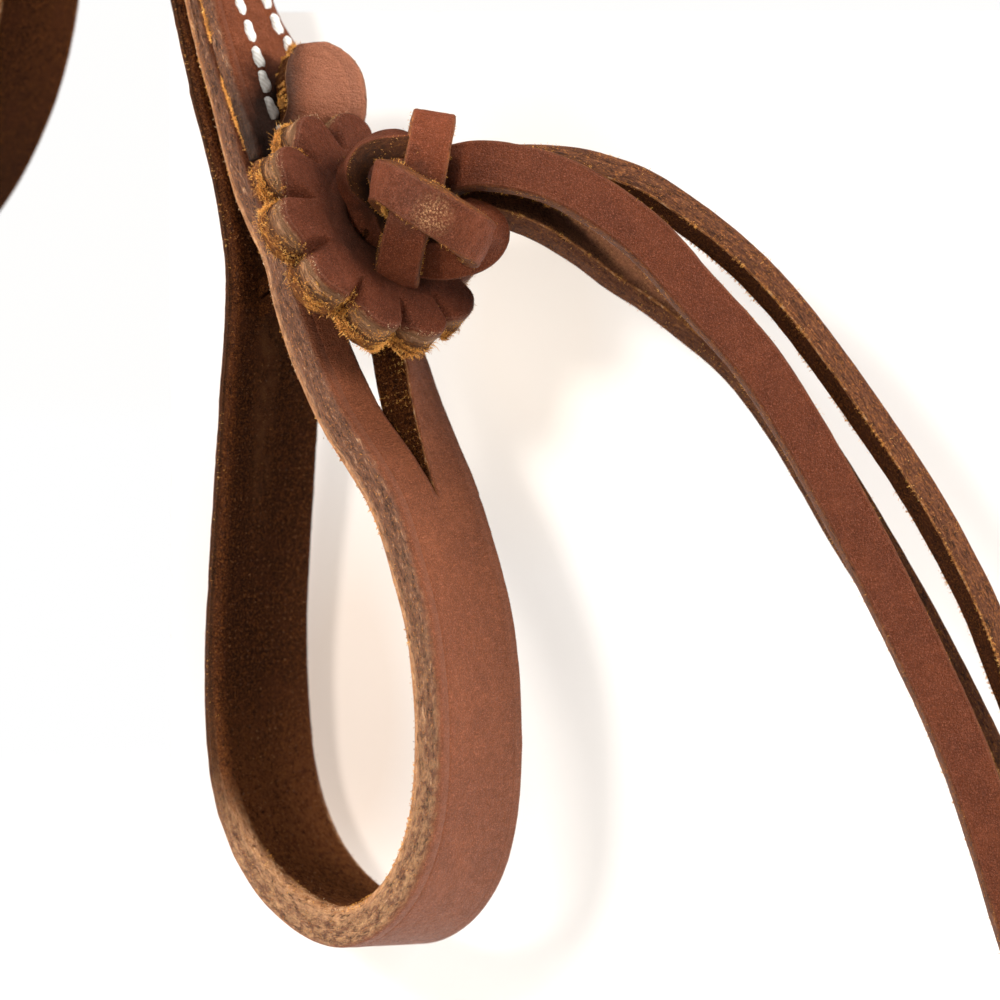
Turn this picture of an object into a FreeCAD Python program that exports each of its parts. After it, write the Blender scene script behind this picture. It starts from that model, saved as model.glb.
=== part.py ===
import FreeCAD, Part
import math
import os

# Bit end of a western leather rein, hanging from the rein's own coil.
# Frame: +Z up. X is normal to the strap faces, with the rosette towards +X.
# Y runs across the strap width: near is -Y, far is +Y.
# Origin: where the bar of the bit ring sits, in the lower bend of the bit loop.
# All lengths in millimetres.

V = FreeCAD.Vector

# ---- strap widths and levels ---------------------------------------------
BIT_END_WIDTH = 19.0          # 3/4 in strap at the bit end
REIN_WIDTH = 16.0             # 5/8 in strap in the rein proper
NEAR_EDGE = -BIT_END_WIDTH / 2
FAR_EDGE = BIT_END_WIDTH / 2
REIN_FAR_EDGE = NEAR_EDGE + REIN_WIDTH
SLIT_GAP = 0.3                # half gap between the two legs of the slit end
SLIT_END_Z = 39.1
LOOP_START_Z = 52.0           # top of the loop on its -X side
LOOP_LEG_TOP_Z = 54.4
LEAD_BOTTOM_Z = 55.2
LEG_STUB_Z = 58.0             # lower end of the back and front legs
TAPER_BOTTOM_Z = 90.0         # the strap narrows to the rein width
TAPER_TOP_Z = 124.0           # between these two heights

# ---- coil -----------------------------------------------------------------
COIL_CENTRE_X = -103.5
COIL_CENTRE_Z = 114.0
COIL_OUTER_R = 75.0           # radii are to the middle of the leather
COIL_INNER_START_R = 50.0
COIL_START_DEG = 15.2
COIL_FIRST_TURN_DEG = 320.0
COIL_TIGHT_TURNS = 7.0
COIL_PITCH = 3.7
COIL_THICK = 2.4
COIL_STEP_DEG = 9.0

# ---- stitches -------------------------------------------------------------
STITCH_PITCH = 3.5
STITCH_LENGTH = 2.7
STITCH_WIDTH = 0.9
STITCH_SUNK = 0.35            # depth of a stitch below the doubler's face
STITCH_DEPTH = 0.75           # whole depth of a stitch
STITCH_FIRST_Z = 90.6
STITCH_END_Z = 115.5
ROW_BASE_Z = 90.0             # the rows slant evenly in Y over this rise
ROW_RISE = 25.0

# ---- rosette, tie and laces -------------------------------------------------
ROSETTE_R = 16.5
ROSETTE_THICK = 4.6
ROSETTE_DISC_R = 13.9
ROSETTE_SCALLOPS = 11
SCALLOP_R = 4.7
SCALLOP_PHASE = 0.35          # first scallop's offset, as a part of one scallop
ROSETTE_HOLE_R = 4.6
HOLE_MARGIN = 1.0             # overrun of the hole cutter at each face
SHANK_WIDTH = 5.4
SHANK_THICK = 2.2
SHANK_CLEARANCE = 0.1         # from the tie axis to each shank
LACE_WIDTH = 6.35             # 1/4 in lace
LACE_THICK = 2.2
TAIL_TIP_HALF_WIDTH = 0.7

# Tie frame: axis through rosette, legs and rein, from the centre of the rosette's top face.
TIE_POINT = V(2.6, -2.4, 73.6)
TIE_AXIS = V(0.857, 0.0, 0.515)
TIE_AXIS.normalize()
TIE_UP = V(-TIE_AXIS.z, 0, TIE_AXIS.x)
TIE_SIDE = V(0, 1, 0)

# Fan frame: the lace tails lie in the plane of U and V, in layers along the normal.
FAN_AZIMUTH = math.radians(35.0)
FAN_TILT = math.radians(3.0)
FAN_U = V(math.cos(FAN_AZIMUTH), math.sin(FAN_AZIMUTH), 0)
FAN_V = V(-math.sin(FAN_AZIMUTH) * math.sin(FAN_TILT),
          math.cos(FAN_AZIMUTH) * math.sin(FAN_TILT),
          math.cos(FAN_TILT))
FAN_NORMAL = V(math.sin(FAN_AZIMUTH) * math.cos(FAN_TILT),
               -math.cos(FAN_AZIMUTH) * math.cos(FAN_TILT),
               math.sin(FAN_TILT))

# ---- strap stations: (x, z) on one face, then the thickness there -----------
LEAD_STATIONS = [             # -X face, downwards
    (-32.2, 132.5, 2.4), (-28.3, 117.5, 2.3), (-24.4, 102.4, 2.1), (-22.4, 94.6, 2.1),
    (-20.1, 86.9, 2.1), (-18.0, 80.5, 2.1), (-16.5, 74.1, 2.3), (-15.7, 69.0, 2.4),
    (-15.6, 63.9, 2.4), (-16.3, LEAD_BOTTOM_Z, 2.4)]
LOOP_STATIONS = [             # outer face, down the -X side and up the +X side
    (-16.65, LOOP_START_Z, 2.5), (-17.2, 45.0, 2.5), (-17.8, 38.4, 2.5), (-18.9, 25.5, 2.6),
    (-19.3, 15.1, 2.8), (-18.8, 4.8, 3.2), (-17.4, -1.8, 3.6), (-14.7, -8.0, 4.2),
    (-10.8, -13.0, 4.8), (-5.6, -16.6, 5.2), (0.2, -18.5, 5.2), (5.4, -17.9, 5.0),
    (10.2, -15.1, 4.7), (14.2, -10.4, 4.4), (16.7, -4.6, 4.2), (18.0, 1.9, 4.1),
    (18.3, 9.4, 4.1), (17.9, 17.1, 4.1), (16.7, 24.6, 4.1), (14.7, 31.1, 4.2),
    (12.2, 37.6, 4.3), (9.6, 44.9, 4.3), (7.7, 51.2, 4.3), (6.9, LOOP_LEG_TOP_Z, 4.3)]
NEAR_LEG_STATIONS = [         # inner face, upwards
    (9.9, 33.9, 4.1), (8.0, 37.1, 4.2), (5.9, 40.3, 4.3), (3.1, 43.8, 4.3),
    (-0.1, 47.7, 4.3), (-2.5, 51.4, 4.3), (-4.3, LOOP_LEG_TOP_Z, 4.3)]
BACK_LEG_STATIONS = [         # -X face, downwards
    (-25.95, 118.0, 1.8), (-22.05, 102.4, 2.2), (-20.05, 94.6, 2.5), (-17.7, 86.9, 2.7),
    (-16.4, 83.0, 2.9), (-13.9, 76.6, 3.2), (-11.0, 71.5, 3.6), (-9.3, 68.0, 3.9),
    (-8.1, 63.9, 4.1), (-5.9, LEG_STUB_Z, 4.2)]
FRONT_LEG_STATIONS = [        # +X face, downwards
    (-9.1, 96.9, 2.6), (-8.6, 94.0, 2.8), (-8.7, 90.6, 2.8), (-9.6, 88.0, 2.6),
    (-10.5, 85.0, 2.3), (-6.2, 78.0, 2.6), (-2.0, 71.1, 2.8), (1.7, 65.0, 3.2),
    (5.9, LEG_STUB_Z, 4.0)]
DOUBLER_STATIONS = [          # -X face, downwards
    (-24.5, 124.0, 1.6), (-21.9, 113.0, 2.4), (-19.15, 102.3, 2.6), (-16.7, 94.6, 2.6),
    (-14.9, 89.0, 2.6)]

# ---- trimming outlines seen along X: (y, z) ---------------------------------
TAPER_OUTLINE = [
    (NEAR_EDGE, 40), (FAR_EDGE, 40), (FAR_EDGE, TAPER_BOTTOM_Z),
    (REIN_FAR_EDGE, TAPER_TOP_Z), (REIN_FAR_EDGE, 140), (NEAR_EDGE, 140)]
ROUND_TIP_OUTLINE = [
    (SLIT_GAP, 40), (FAR_EDGE, 40), (FAR_EDGE, 92.8), (8.6, 95.2), (6.6, 96.8),
    (4.6, 97.3), (2.6, 96.6), (1.0, 95.0), (SLIT_GAP, 92.8)]
DOUBLER_OUTLINE = [
    (NEAR_EDGE, 60), (FAR_EDGE, 60), (FAR_EDGE, 116.0), (-0.2, 124.0),
    (-2.8, 124.0), (NEAR_EDGE, 118.0)]

# ---- knot -------------------------------------------------------------------
# (up, side) in the tie frame: outer edge of the ring, then its inner edge
KNOT_RING_OUTER = [
    (6.4, -1.6), (7.4, -3.0), (7.6, -4.6), (6.2, -6.1),
    (3.8, -6.5), (1.5, -6.3), (-0.7, -5.6), (-2.6, -4.6)]
KNOT_RING_INNER = [
    (4.9, -1.9), (5.6, -3.1), (5.6, -4.0), (5.0, -4.5),
    (3.5, -4.7), (1.8, -4.6), (-0.1, -4.1), (-1.8, -3.2)]
# name, start and end along the fan normal, (u, v) outline
KNOT_PIECES = [
    ("knot_crown", 11.6, 13.9,
     [(6.23, 86.29), (11.32, 84.93), (10.58, 76.73), (5.11, 80.08)]),
    ("knot_wrap", 15.6, 17.9,
     [(1.76, 80.34), (1.15, 75.79), (12.6, 68.02), (16.79, 71.97)]),
    ("knot_drop", 13.4, 15.5,
     [(3.49, 73.0), (8.46, 70.76), (7.22, 65.17), (1.51, 67.03)]),
    ("knot_return", 9.0, 12.6,
     [(17.6, 72.6), (17.7, 71.1), (16.79, 68.98), (14.66, 67.73), (11.91, 66.35),
      (9.41, 65.48), (8.41, 68.23), (12.16, 70.36), (14.41, 71.6)]),
]

# ---- lace tails: name, start along the fan normal, (u, v) centre line ---------
TAILS = [
    ("tail_a", 10.5,
     [(12.2, 79.9), (14.67, 80.21), (19.66, 79.59), (24.64, 78.1), (29.63, 75.35),
      (35.61, 70.87), (40.85, 65.01), (46.21, 59.15), (50.07, 54.41), (54.69, 47.05),
      (59.55, 38.45), (64.53, 29.1), (69.52, 19.01), (74.26, 8.53), (77.62, -0.82),
      (80.49, -10.16), (82.61, -18.89), (83.98, -27.62)]),
    ("tail_b", 5.9,
     [(15.6, 80.5), (17.79, 80.9), (20.94, 80.9), (26.61, 80.53), (31.4, 79.27),
      (35.81, 77.5), (40.72, 74.23), (44.62, 71.46), (49.03, 67.68), (53.95, 62.26),
      (58.98, 55.58), (63.65, 49.03), (68.81, 41.48), (72.84, 34.8), (77.38, 25.86),
      (80.78, 17.04), (83.93, 8.22), (86.45, 0.66)]),
    ("tail_c", -6.1,
     [(14.96, 76.75), (19.1, 76.0), (23.37, 74.42), (27.9, 71.83), (32.04, 68.73),
      (36.57, 64.8), (42.0, 59.8), (47.57, 54.24), (53.0, 48.2), (57.92, 41.6),
      (61.8, 35.22), (65.03, 28.75), (67.36, 23.19)]),
    ("tail_d", 0.0,
     [(15.89, 80.58), (20.99, 80.2), (27.37, 77.8), (33.76, 73.7), (39.63, 68.6),
      (45.3, 62.7), (50.35, 56.5), (55.2, 49.69), (60.0, 42.3), (64.39, 35.0),
      (68.4, 27.99), (72.3, 20.9), (75.88, 13.94), (79.1, 7.6), (81.75, 1.6),
      (84.05, -4.31)]),
]


# ---- helpers ------------------------------------------------------------------
def save(shape, name):
    if not shape.isValid():
        shape.fix(0.01, 0.01, 0.01)
    shape.exportStep("parts/" + name + ".step")


def prism(points, travel):
    return Part.Face(Part.makePolygon(points + [points[0]])).extrude(travel)


def tie_at(along, up, side):
    return TIE_POINT + TIE_AXIS * along + TIE_UP * up + TIE_SIDE * side


def tie_prism(outline, start, end):
    """Prism along the tie axis over an outline of (up, side) points."""
    return prism([tie_at(start, up, side) for up, side in outline], TIE_AXIS * (end - start))


def tie_block(up_low, up_high, half_width, start, end):
    outline = [(up_low, -half_width), (up_low, half_width),
               (up_high, half_width), (up_high, -half_width)]
    return tie_prism(outline, start, end)


def fan_prism(outline, start, thick):
    """Prism along the fan normal over an outline of (u, v) points."""
    points = [FAN_U * u + FAN_V * v + FAN_NORMAL * start for u, v in outline]
    return prism(points, FAN_NORMAL * thick)


def x_prism(outline, start, length):
    """Prism along X over an outline of (y, z) points."""
    return prism([V(start, y, z) for y, z in outline], V(length, 0, 0))


def tangents(points):
    """Unit directions from the first two coordinates of each point's neighbours."""
    result = []
    for i in range(len(points)):
        before = points[max(i - 1, 0)]
        after = points[min(i + 1, len(points) - 1)]
        run, rise = after[0] - before[0], after[1] - before[1]
        length = math.hypot(run, rise)
        result.append((run / length, rise / length))
    return result


def smooth(points, steps):
    """Catmull-Rom curve through the points, with 'steps' steps a span."""
    result = []
    last = len(points) - 1
    for i in range(last):
        corners = (points[max(i - 1, 0)], points[i], points[i + 1], points[min(i + 2, last)])
        for k in range(steps):
            t = k / steps
            result.append(tuple(
                0.5 * (2 * b + (c - a) * t
                       + (2 * a - 5 * b + 4 * c - d) * t * t
                       + (3 * b - a - 3 * c + d) * t ** 3)
                for a, b, c, d in zip(*corners)))
    result.append(tuple(points[-1]))
    return result


def strap(stations, y_near, y_far, side=1.0):
    """A strap on edge. The stations follow one face; the other lies to the left
    of travel for side=1 and to the right for -1, with X to the right and Z up."""
    face = [V(x, y_near, z) for x, z, thick in stations]
    other = [V(x - rise * thick * side, y_near, z + run * thick * side)
             for (x, z, thick), (run, rise) in zip(stations, tangents(stations))]
    return prism(face + other[::-1], V(0, y_far - y_near, 0))


def smooth_strap(stations, y_near, y_far, side=1.0):
    return strap(smooth(stations, 3), y_near, y_far, side)


# Keeps the near edge straight and brings the far edge in to the rein width.
TAPER = x_prism(TAPER_OUTLINE, -60, 80)

# Passage of the tie through the layers.
TIE_HOLE = tie_block(-3.4, 3.4, 3.8, -32.0, 6.0)


# ---- straps -------------------------------------------------------------------
def rein_coil():
    """One wide turn easing inwards, then tight turns at an even pitch."""
    total = COIL_FIRST_TURN_DEG + 360.0 * COIL_TIGHT_TURNS
    count = int(total / COIL_STEP_DEG)
    stations = []
    for i in range(count + 1):
        turned = total * i / count
        if turned <= COIL_FIRST_TURN_DEG:
            part = turned / COIL_FIRST_TURN_DEG
            ease = part * part * (3 - 2 * part)
            radius = COIL_OUTER_R - (COIL_OUTER_R - COIL_INNER_START_R) * ease
        else:
            radius = COIL_INNER_START_R - COIL_PITCH * (turned - COIL_FIRST_TURN_DEG) / 360.0
        angle = math.radians(COIL_START_DEG + turned)
        outer = radius + COIL_THICK / 2
        stations.append((COIL_CENTRE_X + outer * math.cos(angle),
                         COIL_CENTRE_Z + outer * math.sin(angle), COIL_THICK))
    return strap(stations, NEAR_EDGE, REIN_FAR_EDGE)


def rein_lead():
    """The rein above and behind the rosette."""
    return smooth_strap(LEAD_STATIONS, NEAR_EDGE, FAR_EDGE).common(TAPER).cut(TIE_HOLE)


def bit_loop():
    """One thick strap turned round, slit into two legs at the end."""
    loop = smooth_strap(LOOP_STATIONS, NEAR_EDGE, FAR_EDGE)
    # Above the slit end only the far leg follows the loop; the near leg leans back.
    corner = V(-6.0, NEAR_EDGE - 1, SLIT_END_Z)
    loop = loop.cut(Part.makeBox(31.0, SLIT_GAP - corner.y, 60.0 - SLIT_END_Z, corner))
    loop = loop.fuse(smooth_strap(NEAR_LEG_STATIONS, NEAR_EDGE, -SLIT_GAP, -1.0))
    return loop.removeSplitter()


def back_leg():
    """Near leg, from above the bit loop up behind the doubler."""
    return smooth_strap(BACK_LEG_STATIONS, NEAR_EDGE, -SLIT_GAP).cut(TIE_HOLE)


def front_leg():
    """Far leg, passing under the rosette to a rounded tip."""
    leg = smooth_strap(FRONT_LEG_STATIONS, SLIT_GAP, FAR_EDGE, -1.0).cut(TIE_HOLE)
    return leg.common(x_prism(ROUND_TIP_OUTLINE, -30, 60))


def doubler():
    """Tapered patch with a blunt point at the top."""
    patch = smooth_strap(DOUBLER_STATIONS, NEAR_EDGE, FAR_EDGE).common(TAPER)
    return patch.common(x_prism(DOUBLER_OUTLINE, -60, 80))


# ---- stitches -----------------------------------------------------------------
def on_doubler_face(height):
    """Point on the doubler's +X face and the upward direction there, both at y = 0."""
    for upper, lower in zip(DOUBLER_STATIONS, DOUBLER_STATIONS[1:]):
        if lower[1] <= height <= upper[1]:
            part = (height - lower[1]) / (upper[1] - lower[1])
            thick = lower[2] + (upper[2] - lower[2]) * part
            run, rise = upper[0] - lower[0], upper[1] - lower[1]
            length = math.hypot(run, rise)
            along = V(run / length, 0, rise / length)
            x = lower[0] + run * part + along.z * thick
            return V(x, 0, height - along.x * thick), along
    raise ValueError(height)


def stitch_row(y_low, y_high):
    stitches = []
    half_length, half_width = STITCH_LENGTH / 2, STITCH_WIDTH / 2
    corners = [(-half_length, -half_width), (half_length, -half_width),
               (half_length, half_width), (-half_length, half_width)]
    z = STITCH_FIRST_Z
    while z < STITCH_END_Z:
        centre, along = on_doubler_face(z)
        centre.y = y_low + (y_high - y_low) * (z - ROW_BASE_Z) / ROW_RISE
        outward = V(along.z, 0, -along.x)
        points = [centre + along * a - outward * STITCH_SUNK + V(0, b, 0) for a, b in corners]
        stitches.append(prism(points, outward * STITCH_DEPTH))
        z += STITCH_PITCH
    return Part.makeCompound(stitches)


# ---- rosette and laces ----------------------------------------------------------
def rosette():
    """Scalloped disc with a central hole."""
    centre_r = ROSETTE_R - SCALLOP_R
    disc = Part.makeCylinder(ROSETTE_DISC_R, ROSETTE_THICK,
                             tie_at(-ROSETTE_THICK, 0, 0), TIE_AXIS)
    for i in range(ROSETTE_SCALLOPS):
        angle = 2 * math.pi * (i + SCALLOP_PHASE) / ROSETTE_SCALLOPS
        centre = tie_at(-ROSETTE_THICK, centre_r * math.cos(angle), centre_r * math.sin(angle))
        disc = disc.fuse(Part.makeCylinder(SCALLOP_R, ROSETTE_THICK, centre, TIE_AXIS))
    disc = disc.removeSplitter()
    return disc.cut(Part.makeCylinder(ROSETTE_HOLE_R, ROSETTE_THICK + 2 * HOLE_MARGIN,
                                      tie_at(-ROSETTE_THICK - HOLE_MARGIN, 0, 0), TIE_AXIS))


def save_tie():
    """Two shanks through the layers, joined by a bight behind the rein."""
    half_width = SHANK_WIDTH / 2
    inner, outer = SHANK_CLEARANCE, SHANK_CLEARANCE + SHANK_THICK
    save(tie_block(inner, outer, half_width, -23.2, 3.0), "tie_shank_upper")
    save(tie_block(-outer, -inner, half_width, -23.2, 3.0), "tie_shank_lower")
    save(tie_block(-2.9, 2.9, half_width + 0.2, -25.0, -22.8), "tie_bight")


def tail(centre_line, start):
    """Flat lace along the centre line, narrowed over its last stations."""
    line = smooth(centre_line, 2)
    half = LACE_WIDTH / 2
    halves = [half] * (len(line) - 3) + [half * 0.9, half * 0.6, TAIL_TIP_HALF_WIDTH]
    left, right = [], []
    for (u, v), (run, rise), h in zip(line, tangents(line), halves):
        left.append((u - rise * h, v + run * h))
        right.append((u + rise * h, v - run * h))
    return fan_prism(left + right[::-1], start, LACE_THICK)


# ---- build ----------------------------------------------------------------------
os.makedirs("parts", exist_ok=True)
save(rein_coil(), "rein_coil_strap")
save(rein_lead(), "rein_lead_strap")
save(bit_loop(), "bit_loop_strap")
save(back_leg(), "back_leg")
save(front_leg(), "front_leg_tip")
save(doubler(), "doubler")
save(stitch_row(-1.3, -2.8), "stitch_row_left")
save(stitch_row(5.4, 2.6), "stitch_row_right")
save(rosette(), "rosette")
save_tie()
save(tie_prism(KNOT_RING_OUTER + KNOT_RING_INNER[::-1], 0.6, 6.4), "knot_ring")
for name, start, end, outline in KNOT_PIECES:
    save(fan_prism(outline, start, end - start), name)
for name, start, centre_line in TAILS:
    save(tail(centre_line, start), name)
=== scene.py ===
# A coiled leather rein with its bit end strap, a stitched doubler, a scalloped rosette and a
# knotted lace with four tails.
#
# Shapes are worked out in millimetres and turned into metres when a mesh is made. The strap's
# path lies in the XZ plane, +Z up, with its width along Y; the edge at y = -9.5 is the near one.
# The loop of the bit end is at the bottom, round z = -18 to 40. The rein rises on its left
# (-X) to the coil, and the tails hang to the right of the rosette.
import math
from collections import namedtuple

import bmesh
import bpy
import numpy as np
from mathutils import Matrix, Vector


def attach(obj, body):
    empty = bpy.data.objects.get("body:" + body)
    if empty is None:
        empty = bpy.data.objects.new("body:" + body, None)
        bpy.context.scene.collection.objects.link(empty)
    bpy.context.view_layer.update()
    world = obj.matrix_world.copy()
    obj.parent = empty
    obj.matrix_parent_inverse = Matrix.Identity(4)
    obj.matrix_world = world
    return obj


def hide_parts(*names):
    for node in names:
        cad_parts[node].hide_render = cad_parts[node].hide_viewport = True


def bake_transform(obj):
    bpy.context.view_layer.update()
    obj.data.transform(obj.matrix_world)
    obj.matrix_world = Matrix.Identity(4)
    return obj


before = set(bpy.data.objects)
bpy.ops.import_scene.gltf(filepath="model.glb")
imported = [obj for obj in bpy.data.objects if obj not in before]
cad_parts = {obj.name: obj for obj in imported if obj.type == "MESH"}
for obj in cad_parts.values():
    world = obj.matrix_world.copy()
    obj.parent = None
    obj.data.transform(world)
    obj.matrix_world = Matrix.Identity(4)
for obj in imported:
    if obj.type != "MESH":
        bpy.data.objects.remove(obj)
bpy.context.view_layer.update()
RNG = np.random.default_rng(7)
MM = 0.001


# ------------------------------------------------------------------ maths
def vec(*values):
    return np.array(values, float)


def unit(v):
    v = np.asarray(v, float)
    return v / np.maximum(np.linalg.norm(v, axis=-1, keepdims=True), 1e-12)


def ease(t):
    """Smooth step from 0 to 1."""
    t = np.clip(t, 0, 1)
    return t * t * (3 - 2 * t)


def columns(*parts):
    """Arrays and plain numbers side by side, one row per point."""
    return np.stack(np.broadcast_arrays(*parts), 1)


def catmull_rom(points, sub=12):
    p = np.asarray(points, float)
    last = len(p) - 1
    out = []
    for i in range(last):
        p0, p1, p2, p3 = p[max(i - 1, 0)], p[i], p[i + 1], p[min(i + 2, last)]
        for k in range(sub):
            t = k / sub
            out.append(0.5 * (2 * p1 + (p2 - p0) * t + (2 * p0 - 5 * p1 + 4 * p2 - p3) * t * t
                              + (3 * p1 - p0 - 3 * p2 + p3) * t ** 3))
    out.append(p[-1])
    return np.array(out)


def path_length(points):
    """Distance from the start at each point; the first three columns are the place."""
    return np.r_[0, np.cumsum(np.linalg.norm(np.diff(points[:, :3], axis=0), axis=1))]


def resample(points, step):
    """Even spacing along the path; columns after the third follow. Returns rows and distances."""
    p = catmull_rom(points)
    distance = path_length(p)
    count = max(2, int(round(distance[-1] / step)) + 1)
    s = np.linspace(0, distance[-1], count)
    out = np.stack([np.interp(s, distance, p[:, j]) for j in range(p.shape[1])], 1)
    # light smoothing of the kinks that interpolation leaves
    for _ in range(3):
        out[1:-1] = 0.25 * out[:-2] + 0.5 * out[1:-1] + 0.25 * out[2:]
    return out, s


def tangent(p):
    t = np.zeros_like(p)
    t[1:-1] = p[2:] - p[:-2]
    t[0] = p[1] - p[0]
    t[-1] = p[-1] - p[-2]
    return unit(t)


def lattice_hash(ix, iy, iz, seed):
    h = (ix.astype(np.int64) * 374761393 + iy.astype(np.int64) * 668265263
         + iz.astype(np.int64) * 2147483647 + seed * 1274126177) & 0xFFFFFFFF
    h = ((h ^ (h >> 13)) * 1274126177) & 0xFFFFFFFF
    h = (h ^ (h >> 16)) & 0xFFFF
    return h / 32767.5 - 1.0


def noise3(points, freq, seed):
    """Value noise in -1..1, with freq cycles per mm."""
    q = np.asarray(points, float) * freq
    cell = np.floor(q)
    f = ease(q - cell)
    out = np.zeros(len(q))
    for dx in (0, 1):
        for dy in (0, 1):
            for dz in (0, 1):
                weight = ((f[:, 0] if dx else 1 - f[:, 0])
                          * (f[:, 1] if dy else 1 - f[:, 1])
                          * (f[:, 2] if dz else 1 - f[:, 2]))
                out += weight * lattice_hash(cell[:, 0] + dx, cell[:, 1] + dy,
                                             cell[:, 2] + dz, seed)
    return out


def fractal(points, freq, seed, octaves):
    out, amp, total = 0, 1.0, 0.0
    for k in range(octaves):
        out = out + amp * noise3(points, freq * 2 ** k, seed + 17 * k)
        total += amp
        amp *= 0.5
    return out / total


# ------------------------------------------------------------------ frames
# Fan frame: the plane the tails spread in, which is also the camera's image plane.
VIEW_AZIMUTH, VIEW_ELEVATION = math.radians(35.0), math.radians(3.0)
TOWARD = vec(math.sin(VIEW_AZIMUTH) * math.cos(VIEW_ELEVATION),
             -math.cos(VIEW_AZIMUTH) * math.cos(VIEW_ELEVATION), math.sin(VIEW_ELEVATION))
RIGHT = vec(math.cos(VIEW_AZIMUTH), math.sin(VIEW_AZIMUTH), 0)
UP = np.cross(TOWARD, RIGHT)
Y_AXIS = vec(0, 1, 0)

# Tie frame: the axis of the lace through the rosette and the strap, and the way up across it.
TIE_ORIGIN = vec(2.6, -2.4, 73.6)
TIE_AXIS = unit(vec(0.857, 0, 0.515))
TIE_UP = vec(-TIE_AXIS[2], 0, TIE_AXIS[0])


def fan(p):
    """Points or directions given as (right, up, toward the camera), one per row."""
    p = np.asarray(p, float).reshape(-1, 3)
    return p[:, :1] * RIGHT + p[:, 1:2] * UP + p[:, 2:3] * TOWARD


def fan_point(*p):
    return tuple(float(c) for c in fan(p)[0])


def tie_point(along, up):
    return TIE_ORIGIN + TIE_AXIS * along + TIE_UP * up


# ------------------------------------------------------------------ meshes
# Every vertex has a region (edge share, flesh share, dark share for rubbed edges and painted
# shade) and strip coordinates (along, across, up) in mm. Both go to the mesh as attributes for the
# shaders.
GRAIN, CUT, FLESH = (0, 0, 0), (1, 0, 0), (0, 1, 0)
ORANGE, PALE, RUST = 1, 2, 3            # material slots of the loose fibres


class Builder:
    """Collects vertices, faces, regions and strip coordinates, in mm."""

    def __init__(self):
        self.points, self.regions, self.strips = [], [], []
        self.faces, self.slots = [], []
        self.count = 0

    def verts(self, points, region, strip):
        points = np.asarray(points, float).reshape(-1, 3)
        k = len(points)
        self.points.append(points)
        self.regions.append(np.broadcast_to(np.asarray(region, float), (k, 3)))
        self.strips.append(np.broadcast_to(np.asarray(strip, float), (k, 3)))
        first = self.count
        self.count += k
        return np.arange(first, first + k)

    def face(self, ids, slot=0):
        self.faces.append(tuple(int(i) for i in ids))
        self.slots.append(slot)

    def bridge(self, a, b):
        k = len(a)
        for j in range(k):
            m = (j + 1) % k
            self.face((a[j], b[j], b[m], a[m]))

    def bridge_all(self, rings):
        for a, b in zip(rings, rings[1:]):
            self.bridge(a, b)

    def cap(self, ring, region, flip=False, dome=0.0):
        """Closes a ring with smaller rings and a middle point, which dome pushes outward."""
        points, _, strips = self.arrays()
        centre, strip = points[ring].mean(0), strips[ring].mean(0)
        outer = ring
        for s in (0.86, 0.6, 0.3):
            inner = self.verts(centre + (points[ring] - centre) * s + dome * (1 - s ** 4),
                               region, strip)
            if flip:
                self.bridge(outer, inner)
            else:
                self.bridge(inner, outer)
            outer = inner
        middle = self.verts(centre + dome, region, strip)[0]
        for j in range(len(outer)):
            corner = (outer[j], outer[(j + 1) % len(outer)], middle)
            self.face(corner[::-1] if flip else corner)

    def arrays(self):
        return tuple(np.concatenate(a) for a in (self.points, self.regions, self.strips))

    def set_arrays(self, points, regions, strips):
        self.points, self.regions, self.strips = [points], [regions], [strips]

    def normals(self):
        points = np.concatenate(self.points)
        out = np.zeros_like(points)
        for face in self.faces:
            p = points[list(face)]
            n = np.cross(p[1] - p[0], p[2] - p[0])
            if len(face) > 3:
                n = n + np.cross(p[2] - p[0], p[3] - p[0])
            for i in face:
                out[i] += n
        return unit(out)


def make_object(name, builder, materials, sharp=()):
    """Makes the mesh object; edges within each ring listed in sharp are marked sharp."""
    points, regions, strips = builder.arrays()
    mesh = bpy.data.meshes.new(name)
    mesh.from_pydata((points * MM).tolist(), [], builder.faces)
    mesh.polygons.foreach_set("material_index", np.array(builder.slots, np.int32))
    mesh.polygons.foreach_set("use_smooth", np.ones(len(builder.faces), bool))
    for attribute, values in (("reg", regions), ("lc", strips), ("rest", points)):
        layer = mesh.attributes.new(attribute, "FLOAT_VECTOR", "POINT")
        layer.data.foreach_set("vector", values.astype(np.float32).ravel())
    mesh.update()
    ob = bpy.data.objects.new(name, mesh)
    bpy.context.scene.collection.objects.link(ob)
    for material in materials:
        mesh.materials.append(material)
    bm = bmesh.new()
    bm.from_mesh(mesh)
    bmesh.ops.recalc_face_normals(bm, faces=bm.faces)
    bm.to_mesh(mesh)
    bm.free()
    if len(sharp):
        ends = np.zeros(len(mesh.edges) * 2, np.int32)
        mesh.edges.foreach_get("vertices", ends)
        ends = ends.reshape(-1, 2)
        mask = np.zeros(len(ends), bool)
        for ring in sharp:
            mask |= np.isin(ends[:, 0], ring) & np.isin(ends[:, 1], ring)
        mesh.edges.foreach_set("use_edge_sharp", mask)
        mesh.update()
    return ob


def roughen(builder, grain, edge, flesh, seed):
    """Moves the surface along its normals: finely on the grain, raggedly on edges and flesh."""
    points, regions, strips = builder.arrays()
    normals = builder.normals()
    edge_share, flesh_share = regions[:, 0], regions[:, 1]
    grain_share = np.clip(1 - np.maximum(edge_share, flesh_share), 0, 1)
    on_grain = (fractal(points, 0.35, seed, 3) * grain
                + fractal(points, 1.6, seed + 3, 2) * grain * 0.35)
    on_edge = (fractal(strips * vec(0.35, 1.2, 1.2), 1.0, seed + 5, 3) * edge
               + fractal(points, 1.3, seed + 6, 2) * edge * 0.6)
    on_flesh = fractal(points, 1.1, seed + 9, 3) * flesh
    shift = grain_share * on_grain + edge_share * on_edge + flesh_share * on_flesh
    builder.set_arrays(points + normals * shift[:, None], regions, strips)


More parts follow.
